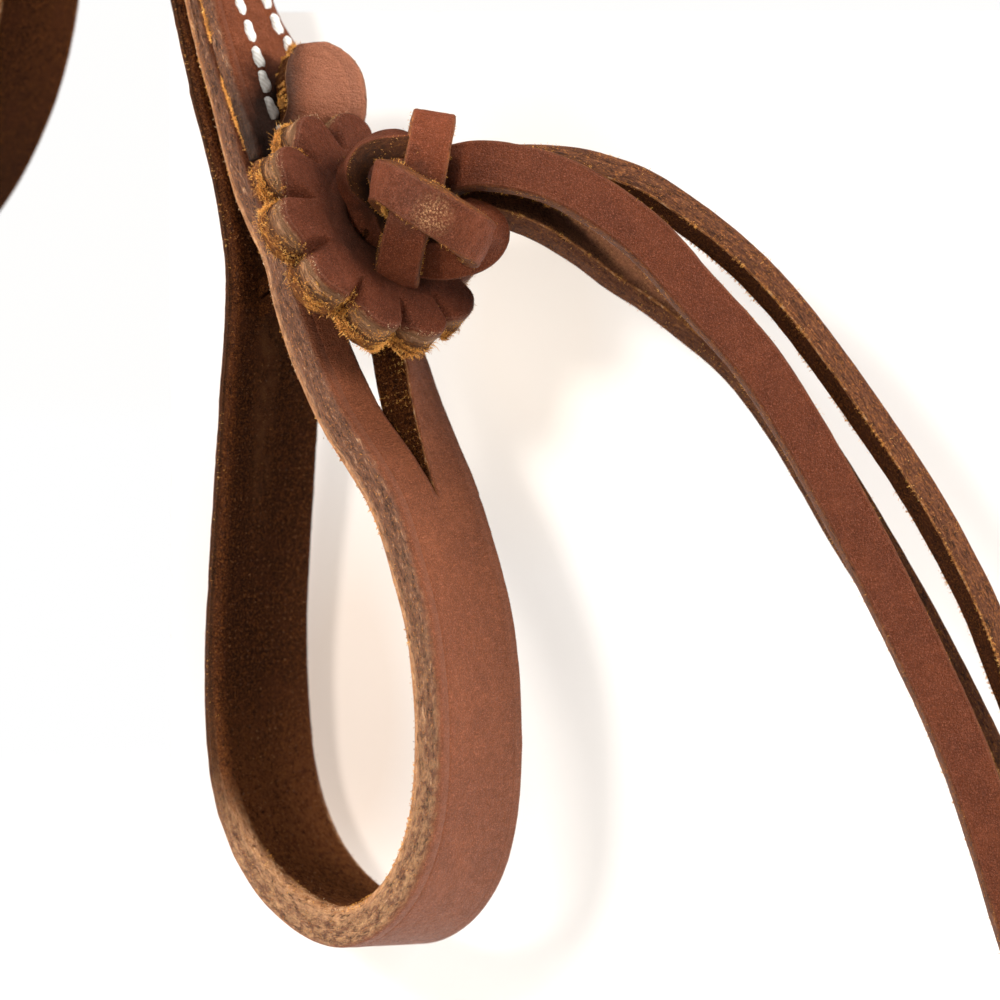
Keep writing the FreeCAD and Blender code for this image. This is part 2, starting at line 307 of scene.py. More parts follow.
def add_fibres(builder, mask, normals, count, lengths, radius, seed,
               slot=ORANGE, spread=0.9, clump=True):
    """Tapered leather fibres, closed, rooted just under the vertices that mask picks."""
    candidates = np.flatnonzero(mask)
    if len(candidates) == 0:
        return
    rng = np.random.default_rng(seed)
    points, _, strips = builder.arrays()
    weight = np.ones(len(candidates))
    if clump:
        weight = noise3(points[candidates], 0.45, seed + 40) * 1.3 + 0.45
        weight = np.clip(weight, 0.02, 1) ** 2
    pick = rng.choice(candidates, size=count, p=weight / weight.sum())
    base = points[pick] + rng.normal(0, 0.12, (count, 3))
    out = unit(normals[pick] + rng.normal(0, spread * 0.6, (count, 3)))
    # fibres that would lie in or under the surface are turned outward
    buried = (out * normals[pick]).sum(1) < 0.12
    out[buried] = unit(out[buried] + normals[pick][buried] * 0.9)
    length = lengths[0] + (lengths[1] - lengths[0]) * rng.random(count) ** 2.2
    curl = unit(np.cross(out, rng.normal(0, 1, (count, 3))))
    curl = curl * (length * (0.15 + 0.5 * rng.random(count)))[:, None]
    side = unit(np.cross(out, rng.normal(0, 1, (count, 3))))
    side2 = np.cross(out, side)
    thick = (radius * (0.55 + 0.9 * rng.random(count)))[:, None]
    root = base - out * 0.06
    middle = base + out * (length * 0.5)[:, None] + curl * 0.25
    corners = []
    for centre, size, turn in ((root, thick, 0.0), (middle, thick * 0.65, 0.3)):
        for k in range(3):
            a = 2 * math.pi * k / 3 + turn
            corners.append(centre + (side * math.cos(a) + side2 * math.sin(a)) * size)
    corners.append(base + out * (length * 0.9)[:, None] + curl)
    ids = builder.verts(np.stack(corners, 1).reshape(-1, 3), (0, 0, 1),
                        np.repeat(strips[pick], 7, 0)).reshape(count, 7)
    for q in ids:
        builder.face((q[2], q[1], q[0]), slot)
        for k in range(3):
            m = (k + 1) % 3
            builder.face((q[k], q[m], q[3 + m], q[3 + k]), slot)
            builder.face((q[3 + k], q[3 + m], q[6]), slot)


def half_section(half_width, thickness, grain_radius, flesh_radius, crease, crease_depth,
                 bulge=0.05, crown=0.0):
    """Half of a strap's cross-section, from the middle of the grain face round the edge to the
    middle of the flesh face. The crease is a pressed line at that distance from the edge.
    Returns four arrays of fixed length: across, up, edge share, flesh share."""
    rg = min(grain_radius, thickness * 0.48, half_width * 0.6)
    rf = min(flesh_radius, thickness * 0.45, half_width * 0.6)
    top, bottom = thickness / 2, -thickness / 2
    flat, line = half_width - rg, half_width - crease
    rows = []
    for share in (0.0, 0.16, 0.32, 0.48, 0.64, 0.80, 0.92):
        x = share * (line - 0.35)
        rows.append((x, top + crown * (1 - (x / half_width) ** 2), 0, 0))
    rows += [(line - 0.28, top - crease_depth * 0.15 + crown * 0.3, 0, 0),
             (line - 0.10, top - crease_depth * 0.9 + crown * 0.25, 0.05, 0),
             (line + 0.10, top - crease_depth + crown * 0.2, 0.12, 0),
             (line + 0.30, top - crease_depth * 0.25 + crown * 0.15, 0.18, 0),
             (0.5 * (line + 0.3 + flat), top + (crown * 0.1 if flat > line + 0.35 else 0),
              0.22, 0)]
    for k in range(5):                                # grain corner
        t = math.pi / 2 * k / 4
        rows.append((flat + rg * math.sin(t), top - rg + rg * math.cos(t), 0.3 + 0.7 * k / 4, 0))
    for k in range(1, 5):                             # cut edge
        t = k / 5
        y = (top - rg) + (bottom + rf - top + rg) * t
        rows.append((half_width + bulge * thickness * math.sin(math.pi * t), y, 1, 0))
    for k in range(4):                                # flesh corner
        t = math.pi / 2 * k / 3
        rows.append((half_width - rf + rf * math.cos(t), bottom + rf - rf * math.sin(t),
                     1 - 0.5 * k / 3, 0.5 * k / 3))
    rows.append((0.9 * (half_width - rf), bottom, 0.25, 0.85))
    for share in (0.78, 0.62, 0.46, 0.30, 0.15, 0.0):
        rows.append((share * (half_width - rf), bottom, 0, 1))
    return np.array(rows, float).T


def add_ring(builder, centre, side, normal, half_width, thickness, along, **section):
    """A whole cross-section; normal points out of the grain face."""
    across, up, edge, flesh = half_section(half_width, thickness, **section)

    def mirrored(values, sign=1):
        return np.r_[values, sign * values[1:-1][::-1]]
    across, up = mirrored(across, -1), mirrored(up)
    return builder.verts(centre + side * across[:, None] + normal * up[:, None],
                         columns(mirrored(edge), mirrored(flesh), 0),
                         columns(along, across, up))


# ------------------------------------------------------------------ shader graph
class Graph:
    """Short-hand for building a node tree. Colours are linear (r, g, b)."""

    def __init__(self, tree):
        self.tree = tree

    def feed(self, socket, value):
        if isinstance(value, bpy.types.NodeSocket):
            self.tree.links.new(value, socket)
        else:
            socket.default_value = (*value, 1.0) if socket.type == "RGBA" else value

    def node(self, kind, inputs=None, **settings):
        node = self.tree.nodes.new(kind)
        for key, value in settings.items():
            setattr(node, key, value)
        for key, value in (inputs or {}).items():
            self.feed(node.inputs[key], value)
        return node

    def attribute(self, name):
        return self.node("ShaderNodeAttribute", attribute_name=name).outputs["Vector"]

    def split(self, vector):
        return tuple(self.node("ShaderNodeSeparateXYZ", {0: vector}).outputs)

    def math(self, operation, *values, clamp=False):
        return self.node("ShaderNodeMath", dict(enumerate(values)), operation=operation,
                         use_clamp=clamp).outputs[0]

    def times(self, first, *rest):
        for value in rest:
            first = self.math("MULTIPLY", first, value)
        return first

    def centred(self, value, size):
        """Noise shifted to lie round zero, times size."""
        return self.times(self.math("SUBTRACT", value, 0.5), size)

    def weighted(self, *pairs):
        """Sum of value times weight."""
        total = self.times(*pairs[0])
        for pair in pairs[1:]:
            total = self.math("ADD", total, self.times(*pair))
        return total

    def vector_math(self, operation, *values):
        return self.node("ShaderNodeVectorMath", dict(enumerate(values)), operation=operation)

    def scale(self, vector, factors):
        return self.vector_math("MULTIPLY", vector, factors).outputs[0]

    def dot(self, vector, direction):
        return self.vector_math("DOT_PRODUCT", vector, tuple(direction)).outputs["Value"]

    def distance(self, vector, point):
        return self.vector_math("DISTANCE", vector, point).outputs["Value"]

    def noise(self, vector, scale, detail=4, rough=0.55, distort=0.0):
        return self.node("ShaderNodeTexNoise", {
            "Scale": scale, "Detail": detail, "Roughness": rough, "Distortion": distort,
            "Vector": vector}).outputs[0]

    def voronoi(self, vector, scale, feature):
        return self.node("ShaderNodeTexVoronoi",
                         {"Scale": scale, "Randomness": 1.0, "Vector": vector},
                         feature=feature).outputs[0]

    def ramp(self, value, stops):
        node = self.node("ShaderNodeValToRGB", {0: value})
        elements = node.color_ramp.elements
        while len(elements) > 1:
            elements.remove(elements[-1])
        for i, (position, colour) in enumerate(stops):
            element = elements[0] if i == 0 else elements.new(position)
            element.position = position
            element.color = (*colour, 1)
        return node.outputs[0]

    def fade(self, value, start, end, low=0.0, high=1.0):
        """Goes from low to high while value goes from start to end, which may run downward."""
        return self.node("ShaderNodeMapRange", {0: value, 1: start, 2: end, 3: low, 4: high},
                         clamp=True).outputs[0]

    def mix(self, factor, a, b, mode="MIX"):
        return self.node("ShaderNodeMix", {0: factor, 6: a, 7: b}, data_type="RGBA",
                         blend_type=mode).outputs[2]

    def mix_value(self, factor, a, b):
        return self.node("ShaderNodeMix", {0: factor, 2: a, 3: b}, data_type="FLOAT").outputs[0]

    def bump(self, height, strength, distance):
        return self.node("ShaderNodeBump", {
            "Strength": strength, "Distance": distance, "Height": height}).outputs[0]

    def principled(self, **inputs):
        """Principled shader on the output; an underscore stands for a space in input names."""
        named = {key.replace("_", " "): value for key, value in inputs.items()}
        self.output(self.node("ShaderNodeBsdfPrincipled", named).outputs[0])

    def emission(self, colour, strength):
        return self.node("ShaderNodeEmission", {0: colour, 1: strength}).outputs[0]

    def glowing_diffuse(self, colour, glow_colour, glow):
        diffuse = self.node("ShaderNodeBsdfDiffuse", {0: colour}).outputs[0]
        return self.node("ShaderNodeAddShader",
                         {0: diffuse, 1: self.emission(glow_colour, glow)}).outputs[0]

    def mix_shader(self, factor, a, b):
        return self.node("ShaderNodeMixShader", {0: factor, 1: a, 2: b}).outputs[0]

    def output(self, shader):
        self.node("ShaderNodeOutputMaterial", {0: shader})


def new_material(name):
    material = bpy.data.materials.new(name)
    material.use_nodes = True
    material.node_tree.nodes.clear()
    return material, Graph(material.node_tree)


def srgb(*channels):
    """Linear colour from 0-255 sRGB values."""
    def linear(x):
        x /= 255.0
        return x / 12.92 if x <= 0.04045 else ((x + 0.055) / 1.055) ** 2.4
    return tuple(linear(x) for x in channels)


def scaled(colour, factor, lift=0.0):
    return tuple(min(1, x * factor + lift) for x in colour)


# ------------------------------------------------------------------ leather
def grain_look(g, rest, strip, edge_share, base, base2):
    """Grain side. Returns colour, bump height and the medium noise."""
    broad = g.noise(rest, scale=0.16, detail=4, rough=0.6, distort=0.4)
    medium = g.noise(rest, scale=0.9, detail=5, rough=0.65)
    fine = g.noise(rest, scale=4.5, detail=3, rough=0.6)
    pores = g.voronoi(rest, 2.3, "DISTANCE_TO_EDGE")
    dots = g.voronoi(rest, 1.9, "F1")
    cracks = g.noise(g.scale(strip, (1.6, 0.5, 0.5)), scale=1.3, detail=6, rough=0.72, distort=1.0)
    dust = g.noise(rest, scale=7.5, detail=2, rough=0.5)
    colour = g.mix(g.fade(broad, 0.35, 0.68), base, base2)
    # darker or lighter marks in turn: noise, where it starts and ends, its strength, the colour
    for value, start, end, low, high, mark in (
            (medium, 0.42, 0.62, 0.0, 0.55, scaled(base, 0.60)),
            (fine, 0.50, 0.62, 0.0, 0.40, scaled(base, 1.55)),
            (fine, 0.45, 0.36, 0.0, 0.45, scaled(base, 0.5)),
            (cracks, 0.56, 0.66, 0.0, 0.45, scaled(base, 1.7, 0.015)),
            (dust, 0.58, 0.66, 0.0, 0.6, scaled(base, 2.4, 0.04)),
            (pores, 0.0, 0.07, 0.30, 0.0, scaled(base, 0.35)),
            (dots, 0.0, 0.16, 0.5, 0.0, scaled(base, 0.4))):
        colour = g.mix(g.fade(value, start, end, low, high), colour, mark)
    # painted highlight: the pressed line next to the edge, a little lighter and greyer
    line = g.times(g.fade(edge_share, 0.02, 0.12), g.fade(edge_share, 0.34, 0.22), 0.28)
    colour = g.mix(line, colour, srgb(128, 84, 66))
    wrinkles = g.noise(g.scale(strip, (1.5, 0.35, 0.35)), scale=0.9, detail=5, rough=0.65,
                       distort=0.5)
    height = g.weighted((g.fade(pores, 0.0, 0.16), 0.5), (fine, 0.7), (wrinkles, 1.6),
                        (cracks, 1.5), (medium, 1.2))
    return colour, height, medium


def flesh_look(g, rest, strip, dark, mid, fleck):
    """Flesh side: dark, fibrous, with rusty flecks. Returns colour and bump height."""
    felt = g.noise(rest, scale=3.2, detail=6, rough=0.72, distort=0.6)
    streaks = g.noise(g.scale(strip, (0.9, 2.6, 2.6)), scale=1.6, detail=5, rough=0.7)
    hairs = g.noise(rest, scale=5.5, detail=4, rough=0.7, distort=1.2)
    broad = g.noise(rest, scale=0.22, detail=3)
    colour = g.ramp(felt, [(0.38, dark), (0.50, mid), (0.57, scaled(mid, 1.7)), (0.66, fleck)])
    for value, start, end, strength, mark in (
            (hairs, 0.53, 0.62, 0.75, scaled(fleck, 0.8)),
            (hairs, 0.46, 0.38, 0.7, scaled(dark, 0.7)),
            (streaks, 0.5, 0.75, 0.5, scaled(dark, 0.55)),
            (broad, 0.48, 0.68, 0.5, scaled(mid, 1.7))):
        colour = g.mix(g.fade(value, start, end, 0.0, strength), colour, mark)
    return colour, g.weighted((felt, 4.5), (hairs, 3.5))


def edge_look(g, strip, flesh_share, dark, mid, lit, corner):
    """Cut edge: burnished bands with pale and orange fibres, and a paler flesh corner.
    Returns colour and the layer, speckle and corner noises."""
    layers = g.noise(g.scale(strip, (0.5, 1.0, 2.0)), scale=1.3, detail=7, rough=0.72, distort=0.8)
    speckle = g.noise(g.scale(strip, (0.9, 1.0, 1.9)), scale=3.0, detail=5, rough=0.78,
                      distort=0.4)
    colour = g.ramp(layers, [(0.36, dark), (0.48, mid), (0.58, scaled(mid, 1.35)), (0.70, lit)])
    for start, end, strength, mark in ((0.55, 0.63, 0.7, srgb(190, 118, 56)),
                                       (0.64, 0.72, 0.9, lit),
                                       (0.45, 0.36, 0.8, dark)):
        colour = g.mix(g.fade(speckle, start, end, 0.0, strength), colour, mark)
    low = g.fade(flesh_share, 0.005, 0.16)
    patches = g.noise(g.scale(strip, (0.5, 1, 1)), scale=1.5, detail=6, rough=0.78, distort=0.6)
    for start, end, strength, mark in ((0.40, 0.52, 0.85, corner[0]),
                                       (0.54, 0.62, 0.9, corner[1])):
        colour = g.mix(g.times(low, g.fade(patches, start, end), strength), colour, srgb(*mark))
    return colour, layers, speckle, patches


def bit_end_flesh(g, colour, rest, z):
    """Paler flesh at the bottom of the loop, and a streak up the left strap."""
    worn = g.fade(g.noise(rest, scale=1.4, detail=6, rough=0.75), 0.38, 0.56)
    colour = g.mix(g.times(g.fade(z, 16.0, -12.0), worn, 0.85), colour, srgb(142, 84, 46))
    x, y, height = g.split(rest)
    streak = g.times(g.fade(y, -5.6, -3.6), g.fade(y, 0.2, -1.6), g.fade(height, 30.0, 46.0),
                     g.fade(x, -8.0, -12.0), g.fade(g.noise(rest, scale=0.5), 0.35, 0.62), 0.6)
    return g.mix(streak, colour, srgb(118, 74, 44))


def tongue_grain(g, colour, rest, z, medium):
    """The tongue above the rosette: painted light on its face, and painted shade down its left
    side.
    """
    right = g.dot(rest, RIGHT)
    light = g.times(g.fade(z, 83.0, 89.0), g.fade(right, -9.5, -5.5), 0.42)
    ragged = g.math("ADD", right, g.centred(medium, 2.4))
    dark = g.times(g.fade(ragged, -7.4, -9.8), g.fade(right, -13.2, -12.4),
                   g.fade(z, 82.0, 86.0), 0.85)
    # painted light on the face, then painted shade down the left side
    colour = g.mix(light, colour, srgb(196, 128, 98))
    return g.mix(dark, colour, srgb(54, 33, 24))


def leather(name, grain, flesh, edge, specular, tint,
            corner=((176, 112, 60), (228, 184, 138)), wear=0.0, bit_end=False,
            sheen_band=False, glint=None, shade=None, painted_lighting=None):
    """Leather with grain, flesh and cut-edge looks chosen by the region attribute.
    grain: two colours; flesh: dark, mid, fleck; edge: dark, mid, lit; corner: two colours of
    the edge's flesh corner. The band flag paints a pale sheen band along the middle of the
    edge. glint: centre of a painted highlight spot. shade: (centre, full radius, zero radius,
    amount) of a patch of painted shade. The painted-lighting entry: (centre, radius where it
    starts, radius where it is full, brightness); brightness below 1 paints shade, above 1 light."""
    material, g = new_material(name)
    grain_rgb = [srgb(*c) for c in grain]
    rest, strip = g.attribute("rest"), g.attribute("lc")
    edge_share, flesh_share, rubbed = g.split(g.attribute("reg"))
    # ragged boundaries between grain, edge and flesh
    ragged = g.centred(g.noise(rest, scale=1.1, detail=3), 0.55)
    either = g.math("MAXIMUM", edge_share, g.times(flesh_share, 2.4))
    is_edge = g.fade(g.math("ADD", either, ragged), 0.42, 0.78)
    is_flesh = g.fade(g.math("ADD", flesh_share, ragged), 0.30, 0.70)

    on_grain, grain_height, medium = grain_look(g, rest, strip, edge_share, *grain_rgb)
    on_flesh, flesh_height = flesh_look(g, rest, strip, *(srgb(*c) for c in flesh))
    on_edge, layers, speckle, patches = edge_look(g, strip, flesh_share,
                                                  *(srgb(*c) for c in edge), corner)
    if bit_end:
        z = g.split(rest)[2]
        on_flesh = bit_end_flesh(g, on_flesh, rest, z)
        pale = g.times(g.fade(z, 40.0, -14.0), g.fade(patches, 0.44, 0.68, 0.0, 0.85))
        on_edge = g.mix(pale, on_edge, srgb(214, 164, 116))
        on_grain = tongue_grain(g, on_grain, rest, z, medium)
    # rubbed dark edges, and painted shade on the slit walls and inside the knot, take a darkened
    # flesh colour
    rubbed = g.math("MULTIPLY", rubbed, 0.96, clamp=True)
    on_edge = g.mix(rubbed, on_edge, g.mix(0.55, on_flesh, (0.018, 0.010, 0.006)))
    if bit_end or sheen_band:
        along, _, up = g.split(strip)
    if sheen_band:
        # painted sheen: a pale band along the middle of the edge
        band = g.times(g.fade(up, -0.45, -1.0), g.fade(up, -3.1, -2.1),
                       g.fade(layers, 0.38, 0.60), 0.52)
        on_edge = g.mix(band, on_edge, srgb(206, 156, 116))
    colour = g.mix(is_flesh, g.mix(is_edge, on_grain, on_edge), on_flesh)

    if bit_end:
        # up the rein side of the loop the rounded flesh corner is as dark as the flesh
        dark = g.times(g.fade(along, 150.0, 143.0), g.fade(z, -12.0, 4.0),
                       g.fade(flesh_share, 0.0, 0.10))
        colour = g.mix(dark, colour, on_flesh)
    if glint:
        # painted highlight: a pale glinting spot
        spot = g.times(g.fade(g.distance(rest, glint), 3.0, 0.5),
                       g.fade(g.noise(rest, scale=3.4, detail=5, rough=0.8), 0.50, 0.60), 0.9)
        colour = g.mix(spot, colour, srgb(232, 176, 124))
    if wear:
        worn = g.times(g.fade(g.noise(rest, scale=0.55, detail=5, rough=0.7), 0.5, 0.75), wear)
        colour = g.mix(worn, colour, scaled(grain_rgb[0], 1.7, 0.02))
    if shade:
        centre, full, zero, amount = shade
        reach = g.math("ADD", g.distance(rest, centre), g.centred(g.noise(rest, scale=0.5), 5.0))
        colour = g.mix(g.fade(reach, zero, full, 0.0, amount), colour, (0.010, 0.005, 0.0035))
    if painted_lighting:
        # painted light and shade: colour scaled round a point, darker below 1 and lighter above 1
        centre, start, full, bright = painted_lighting
        colour = g.mix(g.fade(g.distance(rest, centre), start, full), colour,
                       (bright, bright * 0.97, bright * 0.94), "MULTIPLY")

    rough = g.mix_value(is_edge, g.fade(medium, 0.3, 0.75, 0.46, 0.66),
                        g.fade(speckle, 0.4, 0.7, 0.42, 0.85))
    shine = g.mix_value(is_edge, specular, g.mix_value(rubbed, 0.16, 0.03))
    edge_height = g.weighted((layers, 2.6), (speckle, 1.6))
    height = g.mix_value(is_flesh, g.mix_value(is_edge, grain_height, edge_height), flesh_height)
    g.principled(Base_Color=colour, Specular_Tint=tint,
                 Roughness=g.mix_value(is_flesh, rough, 0.93),
                 Specular_IOR_Level=g.mix_value(is_flesh, shine, 0.04),
                 Normal=g.bump(height, strength=0.85, distance=0.0003))
    return material


def fibre_material(name, dark, mid, light):
    material, g = new_material(name)
    dark, mid, light = srgb(*dark), srgb(*mid), srgb(*light)
    rest = g.attribute("rest")
    fine = g.noise(rest, scale=6.0, detail=2, rough=0.6)
    colour = g.ramp(g.noise(rest, scale=0.8, detail=4, rough=0.7),
                    [(0.35, dark), (0.52, mid), (0.68, light)])
    g.principled(Base_Color=g.mix(g.fade(fine, 0.4, 0.7, 0.0, 0.4), colour, light),
                 Roughness=g.fade(fine, 0.3, 0.7, 0.6, 0.9),
                 Normal=g.bump(fine, strength=0.3, distance=0.00005))
    return material


def thread_material():
    material, g = new_material("waxed_thread")
    strip, rest = g.attribute("lc"), g.attribute("rest")
    twist = g.node("ShaderNodeTexWave", {"Scale": 0.9, "Distortion": 0.6, "Vector": strip},
                   wave_type="BANDS", bands_direction="DIAGONAL").outputs[1]
    grime = g.noise(rest, scale=5.0, detail=4, rough=0.6)
    colour = g.mix(g.fade(twist, 0.2, 0.9, 0.0, 0.45), srgb(232, 230, 224), srgb(176, 168, 152))
    colour = g.mix(g.fade(grime, 0.55, 0.8, 0.0, 0.35), colour, srgb(168, 150, 128))
    # painted shadow: the lowest stitches, under the tongue, are darker
    colour = g.mix(g.fade(g.split(rest)[2], 98.0, 88.0, 0.0, 0.85), colour, srgb(62, 48, 38))
    g.principled(Base_Color=colour, Roughness=g.fade(grime, 0.3, 0.7, 0.45, 0.7),
                 Sheen_Weight=0.25,
                 Normal=g.bump(g.math("ADD", twist, grime), strength=0.6, distance=0.00008))
    return material


HARNESS = dict(edge=((46, 27, 19), (108, 72, 54), (214, 170, 130)),
               flesh=((22, 10, 5), (66, 34, 17), (160, 94, 42)))
WARM, LACE_TINT = (1.0, 0.9, 0.8), (1.0, 0.74, 0.58)
# the strap's edge carries a painted sheen band
STRAP_LEATHER = leather("harness_leather", grain=((129, 71, 43), (108, 57, 34)),
                        bit_end=True, sheen_band=True, specular=0.22, tint=WARM, **HARNESS)
DOUBLER_LEATHER = leather("harness_leather_doubler", grain=((122, 66, 41), (100, 52, 32)),
                          shade=((-11.0, -2.0, 83.5), 6.5, 14.0, 0.97),
                          specular=0.06, tint=(1.0, 0.8, 0.7),
                          corner=((72, 42, 24), (122, 72, 34)), **HARNESS)
# the coil is darkened away from the seam, as painted shade
REIN_LEATHER = leather("harness_leather_rein", grain=((128, 70, 44), (108, 57, 35)),
                       painted_lighting=((-29.4, -2.0, 121.5), 18.0, 75.0, 0.22),
                       specular=0.16, tint=WARM, **HARNESS)
# painted shade inside the knot, and painted light on the top of the crown
LACE_LEATHER = leather("lace_leather", grain=((102, 49, 26), (82, 37, 20)), wear=0.15,
                       edge=((36, 19, 13), (96, 56, 36), (186, 124, 72)),
                       flesh=((22, 10, 5), (58, 29, 16), (156, 92, 38)),
                       shade=(fan_point(4.8, 77.6, 8.2), 5.0, 9.0, 0.90),
                       painted_lighting=(fan_point(8.6, 83.4, 14.0), 7.0, 4.0, 1.45),
                       specular=0.15, tint=LACE_TINT)
# tail C's copy of the lace leather: its flesh colours are lighter, as painted light on its shaded
# face
LACE_LEATHER_PAINTED_LIGHT = leather("lace_leather_flesh_side_painted_light", grain=((96, 46, 26), (74 + 2, 34, 19)),
                            wear=0.1, edge=((40, 22, 15), (92, 56, 40), (176, 118, 74)),
                            flesh=((62, 36, 26), (120, 76, 54), (176, 122, 78)),
                            specular=0.15, tint=LACE_TINT)
# the wrap's copy, more worn, with a painted highlight spot on its middle
WORN_LACE_LEATHER_WITH_HIGHLIGHT = leather("lace_leather_worn_highlight", grain=((104, 50, 27), (76, 35, 18)), wear=0.4,
                            edge=((36, 18, 10), (98, 54, 30), (214, 146, 76)),
                            flesh=((18, 8, 4), (44, 21, 12), (150, 86, 34)),
                            glint=fan_point(8.9, 73.4, 18.6),
                            specular=0.2, tint=(1.0, 0.76, 0.6))
# the rosette's wall carries a painted sheen band below the rim, and its centre painted shade
ROSETTE_LEATHER = leather("rosette_leather", grain=((96, 46, 26), (70, 31, 17)), wear=0.2,
                          edge=((30, 16, 9), (80, 48, 27), (206, 148, 86)),
                          flesh=((24, 13, 9), (60, 32, 18), (150, 92, 46)),
                          corner=((124, 70, 28), (210, 142, 62)), sheen_band=True,
                          shade=(tuple(TIE_ORIGIN + RIGHT * 2.2), 5.0, 11.0, 0.80),
                          specular=0.15, tint=LACE_TINT)
ORANGE_FIBRE = fibre_material("orange_fibre", (134, 72, 20), (212, 136, 44), (250, 198, 108))
PALE_FIBRE = fibre_material("pale_fibre", (146, 100, 62), (200, 156, 112), (236, 208, 170))
RUST_FIBRE = fibre_material("rust_fibre", (70, 36, 16), (128, 74, 34), (186, 120, 60))
THREAD = thread_material()

# ------------------------------------------------------------------ strap paths
HALF_STRAP = 9.5                        # half the strap's full width
NEAR_EDGE = -HALF_STRAP                 # y of the straight near edge
SPLIT_Z = 38.6                          # height at which the slit begins
SEAM_CUT_Z = 121.5                      # the bit end strap starts below this height
STRAP_STEP = 0.9

# Face lines of the strap: x, z, thickness.
# The grain face, down the left side, round the bottom of the loop and up the right side.
LOOP_GRAIN_FACE = [
    (-34.4, 141.0, 2.4), (-32.2, 132.5, 2.4), (-28.3, 117.5, 2.3), (-24.4, 102.4, 2.2),
    (-22.4, 94.6, 2.1), (-20.1, 86.9, 2.1), (-18.0, 80.5, 2.2), (-16.5, 74.1, 2.4),
    (-15.7, 69.0, 2.5), (-15.6, 63.9, 2.5), (-16.1, 57.5, 2.5), (-16.65, 52.0, 2.5),
    (-17.2, 45.0, 2.5), (-17.8, 38.4, 2.6), (-18.9, 25.5, 2.8), (-19.3, 15.1, 3.0),
    (-18.8, 4.8, 3.4), (-17.4, -1.8, 3.8), (-14.7, -8.0, 4.3), (-10.8, -13.0, 4.9),
    (-5.6, -16.6, 5.2), (0.2, -18.5, 5.3), (5.4, -17.9, 5.1), (10.2, -15.1, 4.8),
    (14.2, -10.4, 4.6), (16.7, -4.6, 4.4), (18.0, 1.9, 4.3), (18.3, 9.4, 4.2),
    (17.9, 17.1, 4.2), (16.7, 24.6, 4.2), (14.7, 31.1, 4.3), (12.0, 38.4, 4.4)]
# Flesh face of the near leg, from the slit up against the left side.
NEAR_LEG_FLESH_FACE = [
    (5.6, 40.5, 4.4), (2.9, 43.8, 4.4), (-0.3, 47.7, 4.4), (-2.5, 51.4, 4.4),
    (-4.7, 55.4, 4.4), (-6.5, 59.5, 4.3), (-8.1, 63.9, 4.2), (-9.3, 68.4, 4.1),
    (-11.2, 71.6, 3.8), (-13.9, 76.6, 3.5), (-16.2, 83.0, 3.2), (-17.7, 88.0, 3.0),
    (-20.05, 95.0, 2.7), (-22.05, 102.4, 2.5), (-24.1, 110.5, 2.2), (-25.95, 118.0, 1.7)]
# Grain face of the far leg, which ends in the tongue above the rosette.
FAR_LEG_GRAIN_FACE = [
    (9.0, 44.9, 4.6), (6.3, 51.2, 4.8), (4.9, 55.4, 4.9), (3.5, 59.0, 4.6), (0.2, 65.0, 3.6),
    (-3.2, 71.1, 3.0), (-7.0, 77.5, 3.0), (-8.6, 81.6, 3.4), (-7.2, 84.8, 4.4),
    (-5.7, 87.3, 5.0), (-5.4, 89.8, 5.2), (-6.3, 93.2, 5.1), (-7.5, 97.8, 4.7)]
FAR_LEG_TOP_Z = 97.0


def middle_line(face, side):
    """Rows of x, 0, z, thickness half-way through; side +1: the body lies left of travel."""
    x, z, thickness = np.array(face, float).T
    t = tangent(np.stack([x, z], 1))
    return columns(x - t[:, 1] * side * (thickness / 2), 0.0,
                   z + t[:, 0] * side * (thickness / 2), thickness)


def width_at(z):
    """The rein narrows upward from the strap's full width."""
    return np.interp(np.asarray(z, float), [84.0, 90.0, 97.0, 103.0, 124.0],
                     [2 * HALF_STRAP, 18.7, 17.9, 16.9, 15.9])


def twist_at(z):
    """How far the rein has turned away about its near edge; none below 91 or above 150."""
    z = np.asarray(z, float)
    return math.radians(8.5) * ease((z - 91.0) / 13.0) * ease((150.0 - z) / 22.0)


def strap_frames(line):
    """Points, tangents, grain normals and side directions along a middle line."""
    points = line[:, :3].copy()
    t = tangent(points)
    normals = np.stack([t[:, 2], np.zeros(len(t)), -t[:, 0]], 1)
    return points, t, normals, np.tile(Y_AXIS, (len(points), 1))


def roll(normals, sides, angle):
    c, s = np.cos(angle)[..., None], np.sin(angle)[..., None]
    return normals * c - sides * s, sides * c + normals * s


def keep_near_edge(points, sides, widths, twist):
    """Moves the middle of a twisted strap so that its near edge stays in place."""
    shift = (sides - Y_AXIS) * (widths / 2)[:, None]
    points += np.where(twist[:, None] > 0, shift, 0)


# Both legs share the loop's path up to the slit. Each line goes with distances along it.
LOOP_LINE = middle_line(LOOP_GRAIN_FACE, side=1)
whole_near, near_along = resample(
    np.vstack([LOOP_LINE, middle_line(NEAR_LEG_FLESH_FACE, side=-1)]), STRAP_STEP)
whole_far, _ = resample(
    np.vstack([LOOP_LINE, middle_line(FAR_LEG_GRAIN_FACE, side=1)]), STRAP_STEP)
top = int(np.argmax(whole_near[:, 2] < SEAM_CUT_Z))
split = int(np.flatnonzero(whole_near[:, 2] < SPLIT_Z)[-1])
MAIN_LINE, MAIN_ALONG = whole_near[top:split + 1], near_along[top:split + 1]
NEAR_LEG, NEAR_LEG_ALONG = whole_near[split:], near_along[split:]
far_start = int(np.argmin(np.linalg.norm(whole_far[:, :3] - whole_near[split, :3], axis=1)))
FAR_LEG = whole_far[far_start:]
FAR_LEG = FAR_LEG[FAR_LEG[:, 2] < FAR_LEG_TOP_Z].copy()
FAR_LEG[0] = NEAR_LEG[0]
FAR_LEG_ALONG = near_along[split] + path_length(FAR_LEG)

